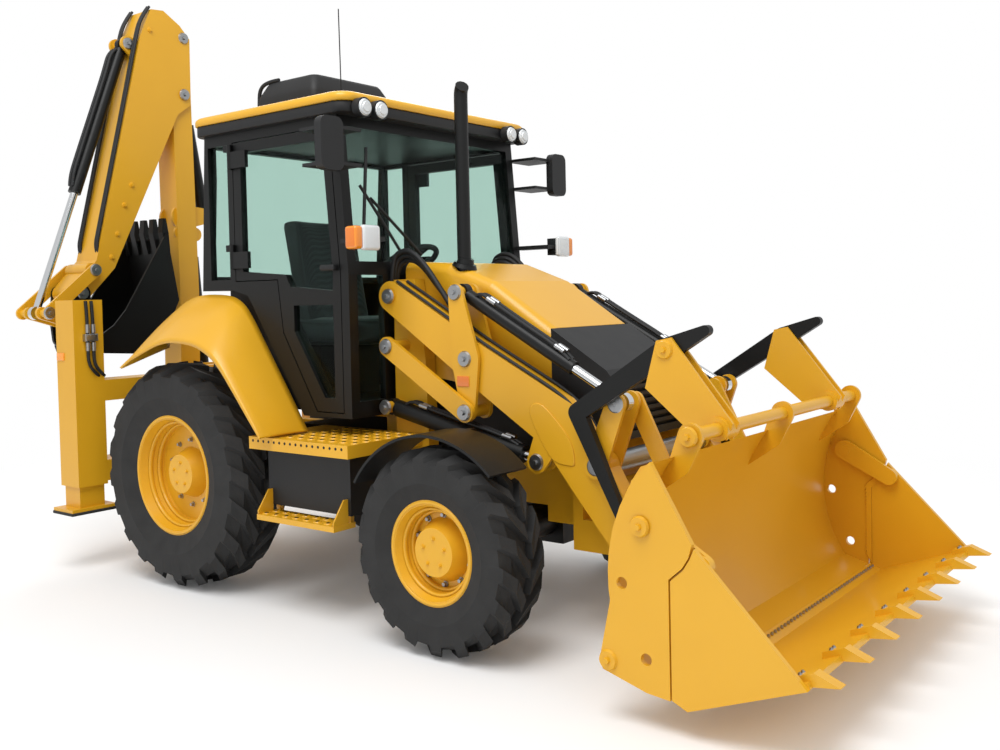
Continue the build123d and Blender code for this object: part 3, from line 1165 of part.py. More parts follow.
# Lamps and mirrors
ROOF_FRONT_X = CAB_FRONT_X + 40
ROOF_LAMP_Z = 2815.0
ROOF_LAMP_RADIUS = 55.0
ROOF_LAMP_DEPTH = 50.0
ROOF_LAMPS = (600.0, 728.0)
MIRROR_X = 1480.0
MIRROR_DEPTH = 50.0
MIRROR_PLACE = (1040.0, 2580.0)
MIRROR_SIZE = (160.0, 280.0)
MIRROR_CORNER = 45.0
SIGNAL_X = (1560.0, 1640.0)
SIGNAL_Y = (840.0, 1000.0)
SIGNAL_Z = (2030.0, 2140.0)
STAY = 18.0
with BuildPart() as lamps:
    for low, high in both(*SIGNAL_Y):
        block(SIGNAL_X, (low, high), SIGNAL_Z)
    for low, high in both(CAB_HALF - 40, SIGNAL_Y[0] + 2):
        block((front_x(2070), SIGNAL_X[0] + 60), (low, high), (2070, 2095))
    for side in (-1, 1):
        with BuildSketch(Plane.YZ.offset(MIRROR_X)) as face:
            with Locations((side * MIRROR_PLACE[0], MIRROR_PLACE[1])):
                RectangleRounded(*MIRROR_SIZE, MIRROR_CORNER)
        extrude(face.sketch, amount=MIRROR_DEPTH)
        for y in ROOF_LAMPS:
            with BuildSketch(Plane.YZ.offset(ROOF_FRONT_X)) as lens:
                with Locations((side * y, ROOF_LAMP_Z)):
                    Circle(ROOF_LAMP_RADIUS)
            extrude(lens.sketch, amount=ROOF_LAMP_DEPTH)
    for z in (MIRROR_PLACE[1] - 95, MIRROR_PLACE[1] + 95):
        for low, high in both(CAB_HALF, MIRROR_PLACE[0]):
            block((front_x(z) - 35, MIRROR_X + 20), (low, high), (z - STAY / 2, z + STAY / 2))
save(lamps, "lamps_and_mirrors")
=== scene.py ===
# %% [markdown]
# A backhoe loader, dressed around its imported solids. The solids already have the real
# shapes and joints, so this lesson gives each one its finish and adds what is too small or
# too thin for the solid model: bolts, pin heads, hydraulic lines, plates, wipers and lenses.
# Everything is in metres, +X points to the loader bucket, +Y to the left and z = 0 is the floor.

import bpy
import bmesh
import json
from math import cos, pi, radians, sin
from mathutils import Matrix, Vector


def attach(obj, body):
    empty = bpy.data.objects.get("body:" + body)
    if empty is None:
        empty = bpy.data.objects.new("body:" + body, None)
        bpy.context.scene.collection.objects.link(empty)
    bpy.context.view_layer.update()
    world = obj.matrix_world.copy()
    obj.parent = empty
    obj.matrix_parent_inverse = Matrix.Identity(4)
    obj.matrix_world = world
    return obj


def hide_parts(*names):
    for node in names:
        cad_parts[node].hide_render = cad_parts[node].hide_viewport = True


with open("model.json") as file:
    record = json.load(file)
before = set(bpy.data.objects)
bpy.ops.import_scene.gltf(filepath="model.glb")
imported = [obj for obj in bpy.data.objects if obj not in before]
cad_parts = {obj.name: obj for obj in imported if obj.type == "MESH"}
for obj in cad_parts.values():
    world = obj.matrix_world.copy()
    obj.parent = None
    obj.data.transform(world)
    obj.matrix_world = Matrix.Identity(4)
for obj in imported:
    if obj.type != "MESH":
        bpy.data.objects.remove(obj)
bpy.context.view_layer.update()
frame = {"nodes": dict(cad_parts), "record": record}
nodes = frame["nodes"]
scene = bpy.context.scene

# %% [markdown]
# The camera stands where the photographer stood: ahead of the machine on its right, with the
# lens a little above the hood. The three angles and the focal length come from lining up the
# wheels, the roof and the bucket, and the small shift is how the picture was cropped.

# %% Camera
CAMERA_PLACE = Vector((4.2076, -4.7493, 1.7513))
CAMERA_YAW = 2.2315
CAMERA_PITCH = 0.0322
CAMERA_ROLL = -0.0221
FOCAL_PIXELS = 1023.43
PICTURE_WIDTH = 1000
SHIFT_PIXELS = -43.85
SENSOR_WIDTH = 36.0

flat = cos(CAMERA_PITCH)
ahead = Vector((cos(CAMERA_YAW) * flat, sin(CAMERA_YAW) * flat, -sin(CAMERA_PITCH)))
level = Vector((sin(CAMERA_YAW), -cos(CAMERA_YAW), 0))
above = level.cross(ahead)
right = level * cos(CAMERA_ROLL) + above * sin(CAMERA_ROLL)
upward = above * cos(CAMERA_ROLL) - level * sin(CAMERA_ROLL)
lens = bpy.data.cameras.new("photo_camera")
lens.sensor_width = SENSOR_WIDTH
lens.lens = FOCAL_PIXELS * SENSOR_WIDTH / PICTURE_WIDTH
lens.shift_y = SHIFT_PIXELS / PICTURE_WIDTH
camera = bpy.data.objects.new("photo_camera", lens)
turn = Matrix((right, upward, -ahead)).transposed().to_4x4()
camera.matrix_world = Matrix.Translation(CAMERA_PLACE) @ turn
scene.collection.objects.link(camera)
scene.camera = camera
print("camera: lens", round(lens.lens, 2), "mm")

# %% [markdown]
# Colours are written as sRGB hex codes, as a paint chart gives them, and shaders work in linear
# values, so one function turns the first into the second. Two more add a node and fill a shader's
# inputs in one line each, and the last starts a material.

# %% Colour and node helpers
scene.view_settings.view_transform = "Standard"


def linear(code):
    """Turn an sRGB hex colour into the linear values that a shader works in."""
    parts = [int(code[i : i + 2], 16) / 255 for i in (1, 3, 5)]
    curve = [p / 12.92 if p <= 0.04045 else ((p + 0.055) / 1.055) ** 2.4 for p in parts]
    return (*curve, 1.0)


def add(tree, kind, links=None, **settings):
    """Add one node with its settings, and link its named inputs to other nodes' outputs."""
    node = tree.nodes.new(kind)
    for key, value in settings.items():
        if key.startswith("in_"):
            node.inputs[int(key[3:])].default_value = value
        else:
            setattr(node, key, value)
    for name, output in (links or {}).items():
        tree.links.new(output, node.inputs[name])
    return node


def feed(shader, inputs):
    """Link a node's first output to each named input, or set the input's constant."""
    for name, source in inputs.items():
        if isinstance(source, bpy.types.Node):
            shader.id_data.links.new(source.outputs[0], shader.inputs[name])
        else:
            shader.inputs[name].default_value = source


def new_material(name):
    """A material with its shader joined to its output, and its Object coordinates."""
    material = bpy.data.materials.new(name)
    material.use_nodes = True
    tree = material.node_tree
    tree.nodes.clear()
    shader = tree.nodes.new("ShaderNodeBsdfPrincipled")
    output = tree.nodes.new("ShaderNodeOutputMaterial")
    tree.links.new(shader.outputs[0], output.inputs[0])
    return material, tree, shader, add(tree, "ShaderNodeTexCoord").outputs["Object"]


print("view transform:", scene.view_settings.view_transform)

# %% [markdown]
# A studio for a machine this size is one big pale floor. Near the machine it is matt paper that
# takes real shadows. Further out, where the camera looks at it, it fades into plain white, so
# that no horizon shows.

# %% Floor
WHITE = (1, 1, 1, 1)
FLOOR_REACH = 60.0
NEAR_FLOOR = 2.6
FAR_FLOOR = 7.0
FLOOR_LIFT = 0.05

floor_mesh = bpy.data.meshes.new("studio_floor")
signs = ((-1, -1), (1, -1), (1, 1), (-1, 1))
corners = [(x * FLOOR_REACH, y * FLOOR_REACH, 0) for x, y in signs]
floor_mesh.from_pydata(corners, [], [(0, 1, 2, 3)])
floor = bpy.data.objects.new("studio_floor", floor_mesh)
scene.collection.objects.link(floor)
floor_paper, tree, shader, place = new_material("studio_floor_paper")
feed(shader, {"Base Color": linear("#F4F4F4"), "Roughness": 0.9})
away = add(tree, "ShaderNodeVectorMath", {0: place}, operation="LENGTH").outputs["Value"]
span = {"in_1": NEAR_FLOOR, "in_2": FAR_FLOOR, "in_3": FLOOR_LIFT}
fade = add(tree, "ShaderNodeMapRange", {0: away}, **span).outputs[0]
eye = add(tree, "ShaderNodeLightPath").outputs["Is Camera Ray"]
share = add(tree, "ShaderNodeMath", {0: fade, 1: eye}, operation="MULTIPLY").outputs[0]
glow = add(tree, "ShaderNodeEmission", in_0=WHITE, in_1=1.0).outputs[0]
blend = add(tree, "ShaderNodeMixShader", {0: share, 1: shader.outputs[0], 2: glow})
tree.links.new(blend.outputs[0], tree.nodes["Material Output"].inputs[0])
floor_mesh.materials.append(floor_paper)
print("floor:", 2 * FLOOR_REACH, "m across")

# %% [markdown]
# Soft light comes from all round. The world is white where the camera sees it and a little dimmer
# as a light. A large lamp above the right front gives the glossy paint its long highlight and the
# tyres their shadow, and a second one lights the far edges.

# %% World and lamps
SOFT_LIGHT = 0.78
LAMP_SIZE = 5.0

world = bpy.data.worlds.new("studio_world")
world.use_nodes = True
tree = world.node_tree
tree.nodes.clear()
path = add(tree, "ShaderNodeLightPath").outputs
rays = {0: path["Is Camera Ray"], 1: path["Is Transmission Ray"]}
seen = add(tree, "ShaderNodeMath", rays, operation="MAXIMUM").outputs[0]
soft = add(tree, "ShaderNodeBackground", in_0=WHITE, in_1=SOFT_LIGHT).outputs[0]
plain = add(tree, "ShaderNodeBackground", in_0=WHITE, in_1=1.0).outputs[0]
mixed = add(tree, "ShaderNodeMixShader", {0: seen, 1: soft, 2: plain})
add(tree, "ShaderNodeOutputWorld", {0: mixed.outputs[0]})
scene.world = world


def soft_lamp(name, place, target, watts):
    """A square area lamp that looks at a point."""
    lamp = bpy.data.lights.new(name, "AREA")
    lamp.size = LAMP_SIZE
    lamp.energy = watts
    holder = bpy.data.objects.new(name, lamp)
    aim = (Vector(target) - Vector(place)).to_track_quat("-Z", "Y").to_matrix().to_4x4()
    holder.matrix_world = Matrix.Translation(place) @ aim
    scene.collection.objects.link(holder)


soft_lamp("key_lamp", (1.6, -4.6, 9.0), (0.3, 0, 1.2), 560)
soft_lamp("rim_lamp", (-6.0, 6.0, 7.0), (0, 0, 1.2), 300)
print("studio: world and two lamps")

# %% [markdown]
# Machine paint is a baked enamel sprayed on shot-blasted plate. Up close it has an orange-peel
# skin, so the highlight breaks up a little, and from panel to panel the yellow drifts by a
# shade. Both come from noise on Object coordinates, at real sizes. The true peel is 1 to 2 mm
# wide, which is too fine to show here, so it is drawn at about 9 mm.

# %% Paint finishes
PEEL = 0.009
PEEL_RISE = 0.002
PANEL_DRIFT = 0.9


def enamel(name, light, dark, rough, peel_depth, coat):
    """Baked enamel: two close shades drifting over the panels, with an orange-peel skin."""
    material, tree, shader, place = new_material(name)
    drift = add(tree, "ShaderNodeTexNoise", {"Vector": place}, in_2=1 / PANEL_DRIFT, in_3=3.0)
    shade = add(tree, "ShaderNodeValToRGB", {0: drift.outputs[0]})
    low, high = shade.color_ramp.elements
    low.position, high.position = 0.35, 0.65
    low.color, high.color = linear(dark), linear(light)
    peel = add(tree, "ShaderNodeTexNoise", {"Vector": place}, in_2=1 / PEEL, in_3=2.0)
    height = {"Height": peel.outputs[0]}
    skin = add(tree, "ShaderNodeBump", height, in_0=peel_depth, in_1=PEEL_RISE)
    ends = {"in_3": rough - 0.05, "in_4": rough + 0.07}
    gloss = add(tree, "ShaderNodeMapRange", {0: drift.outputs[0]}, **ends)
    feed(shader, {"Base Color": shade, "Normal": skin, "Roughness": gloss})
    feed(shader, {"IOR": 1.5, "Coat Weight": coat, "Coat Roughness": 0.12})
    return material


yellow_enamel = enamel("yellow_baked_enamel", "#E0A820", "#D9A11B", 0.36, 0.06, 0.12)
black_enamel = enamel("black_satin_enamel", "#0E0F0F", "#0A0B0B", 0.44, 0.08, 0.05)
feed(black_enamel.node_tree.nodes["Principled BSDF"], {"Specular IOR Level": 0.3})
print("paint: yellow and black enamel")

# %% [markdown]
# Tanks, grille, lamp bodies and mirror backs are moulded black plastic. The mould was etched,
# so the surface has a fine leather-like grain, which is what makes it look grey and soft beside
# the paint. The grain is about 1 mm on the real piece, drawn here at 5 mm so that it shows. Cured
# rubber, vinyl and cast iron are the same idea with a coarser grain.

# %% Plastic, rubber and trim
GRAIN_RISE = 0.001
CLOUD = 0.12


def grained(name, light, dark, rough, grain, depth):
    """An etched or cast surface: a cell grain in the height, and two shades in soft clouds."""
    material, tree, shader, place = new_material(name)
    cells = add(tree, "ShaderNodeTexVoronoi", {"Vector": place}, in_2=1 / grain)
    cloud = add(tree, "ShaderNodeTexNoise", {"Vector": place}, in_2=1 / CLOUD, in_3=4.0)
    shade = add(tree, "ShaderNodeValToRGB", {0: cloud.outputs[0]})
    low, high = shade.color_ramp.elements
    low.position, high.position = 0.3, 0.7
    low.color, high.color = linear(dark), linear(light)
    height = {"Height": cells.outputs[0]}
    skin = add(tree, "ShaderNodeBump", height, in_0=depth, in_1=GRAIN_RISE)
    ends = {"in_3": rough - 0.06, "in_4": rough + 0.08}
    gloss = add(tree, "ShaderNodeMapRange", {0: cloud.outputs[0]}, **ends)
    feed(shader, {"Base Color": shade, "Normal": skin, "Roughness": gloss})
    return material


black_plastic = grained("etched_black_plastic", "#17181A", "#101112", 0.58, 0.005, 0.25)
tyre_rubber = grained("cured_tyre_rubber", "#2A2A2A", "#1E1E1E", 0.82, 0.012, 0.3)
cab_vinyl = grained("cab_trim_vinyl", "#2A2B2D", "#202123", 0.62, 0.006, 0.3)
cast_iron = grained("painted_cast_iron", "#2B2C2C", "#202121", 0.66, 0.008, 0.45)
print("grained: plastic, rubber, vinyl and cast iron")

# %% [markdown]
# Bare metal is only on the cylinder rods, the pins and small fittings. Rods are hard chrome,
# ground and polished, so they mirror the room in streaks. Pins are plated steel, greyer and
# duller. A metal keeps the default IOR.

# %% Metals
def bare_metal(name, colour, rough, streak):
    """Polished or plated metal: its roughness varies in fine marks."""
    material, tree, shader, place = new_material(name)
    marks = add(tree, "ShaderNodeTexNoise", {"Vector": place}, in_2=1 / streak, in_3=5.0)
    ends = {"in_3": rough * 0.6, "in_4": rough * 1.5}
    gloss = add(tree, "ShaderNodeMapRange", {0: marks.outputs[0]}, **ends)
    feed(shader, {"Base Color": linear(colour), "Metallic": 1.0, "Roughness": gloss})
    return material


hard_chrome = bare_metal("hard_chrome", "#D8DADC", 0.10, 0.03)
plated_steel = bare_metal("zinc_plated_steel", "#A7A9AB", 0.34, 0.02)
print("metals: chrome and plated steel")

# %% [markdown]
# Cab windows are toughened float glass with a faint green tint from the iron in it. A 6 mm pane
# lets nearly all the light through, so the tint shows mostly where two panes lie behind each
# other. Rolled waves about 0.8 m long make its gloss vary a little.

# %% Glass
GLASS_WAVE = 1.2

window_glass, tree, shader, place = new_material("tinted_float_glass")
wave = add(tree, "ShaderNodeTexNoise", {"Vector": place}, in_2=GLASS_WAVE, in_3=1.0)
gloss = add(tree, "ShaderNodeMapRange", {0: wave.outputs[0]}, in_3=0.0, in_4=0.03)
feed(shader, {"Base Color": linear("#CFE3DC"), "Roughness": gloss})
feed(shader, {"Transmission Weight": 1.0, "IOR": 1.12})
print("glass: tinted panes")

# %% [markdown]
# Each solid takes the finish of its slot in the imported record, so the model and the record
# agree about what every piece is made of. Only the loader's links differ: they are painted yellow.

# %% Dress the solids
FINISHES = {
    "yellow_paint": yellow_enamel,
    "black_paint": black_enamel,
    "bare_steel": plated_steel,
    "chromed_rod": hard_chrome,
    "window_glass": window_glass,
    "tyre_rubber": tyre_rubber,
    "black_plastic": black_plastic,
    "roof_plastic": yellow_enamel,
    "cab_trim": cab_vinyl,
    "cast_block": cast_iron,
}
slot_of = {row["node"]: row["material_slot"] for row in frame["record"]["subparts"]}
for name, node in nodes.items():
    node.data.materials.clear()
    node.data.materials.append(FINISHES[slot_of[name]])
nodes["loader_links"].data.materials[0] = yellow_enamel
print("dressed", len(nodes), "solids")

# %% [markdown]
# Lamp lenses are moulded polycarbonate, clear or amber, over a bright reflector. Their flutes
# spread the beam. No light passes through the lens here, so its colour carries painted light: the
# clear lens is near white as painted reflection of the reflector, and the pale and dark bands
# along the flutes are painted reflection and painted shade. The amber is the plastic's own
# colour. Mirrors are silvered glass.

# %% Lamp and mirror finishes
FLUTE = 0.02


def lens_plastic(name, light, dark, rough):
    """A moulded lens: fine flutes in the height, and painted reflection and shade in bands that
    follow them.
    """
    material, tree, shader, place = new_material(name)
    flutes = add(tree, "ShaderNodeTexWave", {"Vector": place}, in_1=1 / FLUTE, bands_direction="Y")
    # Painted reflection and shade: the colour runs from the dark shade to the light one along each
    # flute.
    shade = add(tree, "ShaderNodeValToRGB", {0: flutes.outputs[0]})
    low, high = shade.color_ramp.elements
    low.color, high.color = linear(dark), linear(light)
    skin = add(tree, "ShaderNodeBump", {"Height": flutes.outputs[0]}, in_0=0.3, in_1=0.002)
    feed(shader, {"Base Color": shade, "Normal": skin, "Roughness": rough})
    feed(shader, {"IOR": 1.58, "Coat Weight": 0.6})
    return material


clear_lens = lens_plastic("clear_lamp_lens", "#F2F4F4", "#B9C0C4", 0.12)
amber_lens = lens_plastic("amber_lamp_lens", "#F79A22", "#DD7410", 0.18)
mirror_silver = bare_metal("silvered_mirror", "#DDE2E4", 0.04, 0.2)
print("lenses: clear and amber, with mirror silver")

# %% [markdown]
# The seat is covered in a coarse woven cloth, whose 2 mm threads are drawn at 7 mm so that the
# weave shows. Two crossed waves, multiplied, rise where warp and weft cross.

# %% Seat cloth and slots
THREAD = 0.007
WAVES_TO_THREADS = 0.31

seat_cloth, tree, shader, place = new_material("woven_seat_cloth")
pitch = WAVES_TO_THREADS / THREAD
warp = add(tree, "ShaderNodeTexWave", {"Vector": place}, in_1=pitch, bands_direction="X")
weft = add(tree, "ShaderNodeTexWave", {"Vector": place}, in_1=pitch, bands_direction="Y")
crossing = {0: warp.outputs[1], 1: weft.outputs[1]}
weave = add(tree, "ShaderNodeMath", crossing, operation="MULTIPLY")
# Painted shade: the colour follows the weave, darker in the gaps between the threads and lighter
# where they cross.
shade = add(tree, "ShaderNodeValToRGB", {0: weave.outputs[0]})
low, high = shade.color_ramp.elements
low.color, high.color = linear("#2B2D30"), linear("#4A4D52")
skin = add(tree, "ShaderNodeBump", {"Height": weave.outputs[0]}, in_0=0.5, in_1=0.002)
feed(shader, {"Base Color": shade, "Normal": skin, "Roughness": 0.9, "Sheen Weight": 0.3})

# %% [markdown]
# Wheel nuts, pin heads, lamp lenses and the raised grips of the platform are all the same idea:
# one small turned shape, set many times. Modelling each by hand would be slow, so a Geometry
# Nodes tree puts a chamfered head with a smaller cap on every point of a mesh. Each point
# carries the direction that its head faces.

# %% Stud tree
CHAMFER = 0.86
STUD_PARTS = (("Radius", "Height", "Sides"), ("Cap Radius", "Cap Height", "Cap Sides"))
STUD_SIZES = ("Radius", "Height", "Cap Radius", "Cap Height")
STUD_INPUTS = {"Spots": "Geometry", **dict.fromkeys(STUD_SIZES, "Float")}
STUD_INPUTS.update({"Sides": "Int", "Cap Sides": "Int", "Finish": "Material"})


def stud_tree():
    """A tree that sets a chamfered head, with a cap on it, on every point."""
    tree = bpy.data.node_groups.new("machine_studs", "GeometryNodeTree")
    for label, kind in STUD_INPUTS.items():
        tree.interface.new_socket(label, in_out="INPUT", socket_type="NodeSocket" + kind)
    tree.interface.new_socket("Studs", in_out="OUTPUT", socket_type="NodeSocketGeometry")
    sizes = add(tree, "NodeGroupInput").outputs
    shapes = []
    for radius, height, sides in STUD_PARTS:
        top = add(tree, "ShaderNodeMath", {0: sizes[radius]}, operation="MULTIPLY", in_1=CHAMFER)
        links = {"Vertices": sizes[sides], "Radius Bottom": sizes[radius], "Depth": sizes[height]}
        links["Radius Top"] = top.outputs[0]
        shapes.append(add(tree, "GeometryNodeMeshCone", links).outputs["Mesh"])
    lift = add(tree, "ShaderNodeCombineXYZ", {"Z": sizes["Height"]})
    links = {"Geometry": shapes[1], "Translation": lift.outputs[0]}
    cap = add(tree, "GeometryNodeTransform", links)
    head = add(tree, "GeometryNodeJoinGeometry")
    tree.links.new(shapes[0], head.inputs[0])
    tree.links.new(cap.outputs[0], head.inputs[0])
    facing = add(tree, "GeometryNodeInputNamedAttribute", data_type="FLOAT_VECTOR")
    facing.inputs["Name"].default_value = "facing"
    links = {"Vector": facing.outputs[0]}
    turn = add(tree, "FunctionNodeAlignRotationToVector", links, axis="Z")
    links = {"Points": sizes["Spots"], "Instance": head.outputs[0], "Rotation": turn.outputs[0]}
    placed = add(tree, "GeometryNodeInstanceOnPoints", links)
    real = add(tree, "GeometryNodeRealizeInstances", {0: placed.outputs[0]})
    links = {"Geometry": real.outputs[0], "Material": sizes["Finish"]}
    coloured = add(tree, "GeometryNodeSetMaterial", links)
    add(tree, "NodeGroupOutput", {0: coloured.outputs[0]})
    return tree


STUD_TREE = stud_tree()
STUD_SOCKETS = {item.name: item.identifier for item in STUD_TREE.interface.items_tree}
print("stud tree:", len(STUD_TREE.nodes), "nodes")

# %% [markdown]
# To use the tree, a mesh of bare points gets it as a modifier, its inputs are set, and the
# evaluated result is kept as a plain mesh. The modifier is then removed. A stud's size is a
# radius and a height, then the cap's two sizes, then how many sides the head and the cap have.

# %% Set the studs
def studs(name, body, spots, facings, finish, radius, height, cap=None, sides=20, cap_sides=6):
    """Set a stud on each spot, as one plain mesh that rides on a body."""
    mesh = bpy.data.meshes.new(name)
    mesh.from_pydata([tuple(spot) for spot in spots], [], [])
    marks = mesh.attributes.new("facing", "FLOAT_VECTOR", "POINT")
    for mark, facing in zip(marks.data, facings):
        mark.vector = facing
    piece = bpy.data.objects.new(name, mesh)
    scene.collection.objects.link(piece)
    maker = piece.modifiers.new("studs", "NODES")
    maker.node_group = STUD_TREE
    cap_radius, cap_height = cap or (radius * 0.5, height * 0.1)
    values = {"Radius": radius, "Height": height, "Sides": sides, "Finish": finish}
    values.update({"Cap Radius": cap_radius, "Cap Height": cap_height, "Cap Sides": cap_sides})
    for label, value in values.items():
        maker[STUD_SOCKETS[label]] = value
    piece.update_tag()
    bpy.context.view_layer.update()
    made = piece.evaluated_get(bpy.context.evaluated_depsgraph_get())
    solid = bpy.data.meshes.new_from_object(made)
    piece.modifiers.clear()
    piece.data = solid
    bpy.data.meshes.remove(mesh)
    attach(piece, body)
    print(name, len(solid.polygons), "faces")


# %% [markdown]
# The solid model is drawn from the rear axle, and its frame has its origin under the middle of
# the machine, 1.282 m further forward. One function turns a side-view point and a distance
# across the machine, in millimetres, into a place. The first things placed are the wheel nuts,
# in a ring on each disc, and the screws on each hub.

# %% Places and wheel nuts
MIDDLE_X = 1282.0
HANDS = (("right", -1), ("left", 1))


def at(x, y, z):
    return Vector((x - MIDDLE_X, y, z)) / 1000


WHEELS = {"rear": (0.0, 857.0, 700.0), "front": (2172.0, 940.0, 517.0)}
NUT_RINGS = {"rear": 205.0, "front": 173.0}
NUTS = 10
WHEEL_NUT = (0.017, 0.006, (0.012, 0.016))
DISC_FACE = 20.0
HUB_SCREW = (0.012, 0.005, (0.008, 0.006))
HUB_RING = 70
HUB_FACE = 110


def ring_spots(wheel, side, ring, out, turns):
    """Places in a ring round a wheel's axle, a way out from the wheel's middle."""
    x, y, z = wheel
    return [at(x + ring * cos(t), side * (y + out), z + ring * sin(t)) for t in turns]


turns = [2 * pi * (k + 0.5) / NUTS for k in range(NUTS)]
for end, wheel in WHEELS.items():
    for hand, side in HANDS:
        body = f"wheel_{end}_{hand}"
        outward = [(0, side, 0)] * NUTS
        spots = ring_spots(wheel, side, NUT_RINGS[end], DISC_FACE, turns)
        studs(f"wheel_nuts_{end}_{hand}", body, spots, outward, plated_steel, *WHEEL_NUT)
        spots = ring_spots(wheel, side, HUB_RING, HUB_FACE, turns[::2])
        studs(f"hub_screws_{end}_{hand}", body, spots, outward, yellow_enamel, *HUB_SCREW)

# %% [markdown]
# Every joint of the loader and the hoe turns on a greased pin. From outside, the eye sees its
# head: a round keeper plate with one bolt. They sit on the outermost plate at each pivot, and
# ride on the body that the plate belongs to. Two pairs are low, because other pieces pass close.

# %% Loader pin heads
PIN_HEAD = (0.044, 0.012, (0.015, 0.012))
LOW_PIN_HEAD = (0.044, 0.003, (0.015, 0.001))
LOADER_PINS = {
    "arms_pivot": ("chassis", 1480, 606, 1775),
    "link_pivot": ("chassis", 1495, 650, 1496),
    "lift_foot": ("chassis", 1440, 606, 1150),
    "lever_middle": ("levers", 2037, 616, 1435),
    "lever_top": ("levers", 1978, 616, 1787),
    "lever_foot": ("levers", 2052, 650, 1156),
    "lift_eye": ("arms", 2471, 590, 921),
    "front_lever_pivot": ("lever_pins", 2835, 618, 930),
    "front_lever_top": ("front_levers", 2955, 616, 1240),
    "bucket_hinge": ("hinge_pins", 3120, 618, 395),
    "clam": ("jaw", 3424, 1213, 827),
    "fork": ("carriers", 3266, 698, 1505),
    "shaft_end": ("bucket", 3527, 985, 1165),
    "cheek": ("bucket", 3262, 1205, 255),
}
PAINTED_HEADS = ("clam", "fork", "shaft_end", "cheek")
LOW_HEADS = ("front_lever_top", "front_lever_pivot")
for name, (body, x, lane, z) in LOADER_PINS.items():
    spots = [at(x, side * lane, z) for hand, side in HANDS]
    outward = [(0, side, 0) for hand, side in HANDS]
    finish = yellow_enamel if name in PAINTED_HEADS else plated_steel
    size = LOW_PIN_HEAD if name in LOW_HEADS else PIN_HEAD
    studs(f"pin_heads_{name}", body, spots, outward, finish, *size)

# %% [markdown]
# The hoe is folded across the back of the machine, so it works in a plane of its own. A point of
# it is a reach to the right of the swing post, a lane ahead of or behind the hoe's middle, and a
# height.

# %% Hoe pin heads
SWING_X = -1365.0
SWING_Y = 150.0


def on_hoe(reach, lane, z):
    return at(SWING_X + lane, SWING_Y - reach, z)


HOE_PINS = {
    "boom_foot": ("swing", 240, 141, 830),
    "boom_cylinder_foot": ("swing", -60, 141, 1230),
    "stick_pivot": ("stick_body", 130, 143, 3360),
    "stick_horn": ("stick_body", 120, 135, 3790),
    "dig_ear": ("stick_body", 560, 84, 3680),
    "guide_pin": ("guides", 940, 188, 2013),
    "dig_pivot": ("dig", 1030, 164, 1850),
    "dig_rod_eye": ("guides", 1290, 188, 1718),
}
for name, (body, reach, lane, z) in HOE_PINS.items():
    spots = [on_hoe(reach, side * lane, z) for side in (-1, 1)]
    studs(f"pin_heads_{name}", body, spots, [(-1, 0, 0), (1, 0, 0)], plated_steel, *PIN_HEAD)

# %% [markdown]
# The platform and the step under the door are pressed with raised round grips, each with a drain
# hole in its middle, and the platform's edge has a row of small holes. A tread texture would look
# flat here, so the grips are real. The holes are not cut: each is a black disc just proud of the
# face, painted shade for the dark inside of the hole.

# %% Platform grips
GRIP = (0.026, 0.005)
DRAIN_HOLE_SHADE = (0.013, 0.001)
EDGE_HOLE_SHADE = (0.008, 0.0015)
GRIP_PITCH = 85.0
STEP_PITCH = 70.0
EDGE_PITCH = 45.0
EDGE_HOLES = 17
PLATFORM_START = (1060, 550, 1000)
STEP_START = (880, 945, 560)
EDGE_START = (835, 1060, 978)
DISC_LIFT = Vector((0, 0, 0.0052))


def grip_grid(start, side, columns, rows, row_pitch):
    """Places of the grips on one pressed tread, row by row."""
    x, y, z = start
    cells = [(i, j) for i in range(columns) for j in range(rows)]
    return [at(x + GRIP_PITCH * i, side * (y + row_pitch * j), z) for i, j in cells]


for hand, side in HANDS:
    spots = grip_grid(PLATFORM_START, side, 7, 6, GRIP_PITCH)
    spots += grip_grid(STEP_START, side, 7, 2, STEP_PITCH)
    skyward = [(0, 0, 1)] * len(spots)
    studs(f"platform_grips_{hand}", "chassis", spots, skyward, yellow_enamel, *GRIP)
    # Painted shade: black discs stand where the drain holes are, for the dark inside of each hole.
    high = [spot + DISC_LIFT for spot in spots]
    studs(f"platform_hole_shade_{hand}", "chassis", high, skyward, black_enamel, *DRAIN_HOLE_SHADE)
    x, y, z = EDGE_START
    edge = [at(x + EDGE_PITCH * i, side * y, z) for i in range(EDGE_HOLES)]
    outward = [(0, side, 0)] * EDGE_HOLES
    # Painted shade again: black discs for the small holes along the platform's edge.
    studs(f"platform_edge_hole_shade_{hand}", "chassis", edge, outward, black_enamel, *EDGE_HOLE_SHADE)

# %% [markdown]
# Four round work lamps look forward from the roof's brow. Each has a domed clear lens, which is
# the brightest thing on the cab, so it is made as a wide, smooth stud. Its near-white finish is
# painted reflection of the lamp's reflector.

# %% Roof lamps
LAMP_LENS = (0.047, 0.010, (0.030, 0.008), 32, 32)
LAMP_FACE = 1462
LAMP_LANES = (600, 728)
LAMP_HEIGHT = 2815
lamps = [at(LAMP_FACE, side * y, LAMP_HEIGHT) for hand, side in HANDS for y in LAMP_LANES]
forward = [(1, 0, 0)] * len(lamps)
studs("roof_lamp_lenses", "chassis", lamps, forward, clear_lens, *LAMP_LENS)

# %% [markdown]
# Head lamps, turn lamps, mirrors, reflectors and door handles are small moulded blocks. Each is a
# cube stretched between its corners, with its edges bevelled in the mesh so that they catch the
# light. The helpers that turn a mesh into a finished piece serve every later step too.

# %% Moulded blocks
BEVEL_STEPS = 4


def placed(name, body, mesh, finish, slot=None):
    """Make a mesh a piece with a finish, riding on a body; its slot is not used."""
    mesh.materials.append(finish)
    piece = bpy.data.objects.new(name, mesh)
    scene.collection.objects.link(piece)
    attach(piece, body)
    return piece


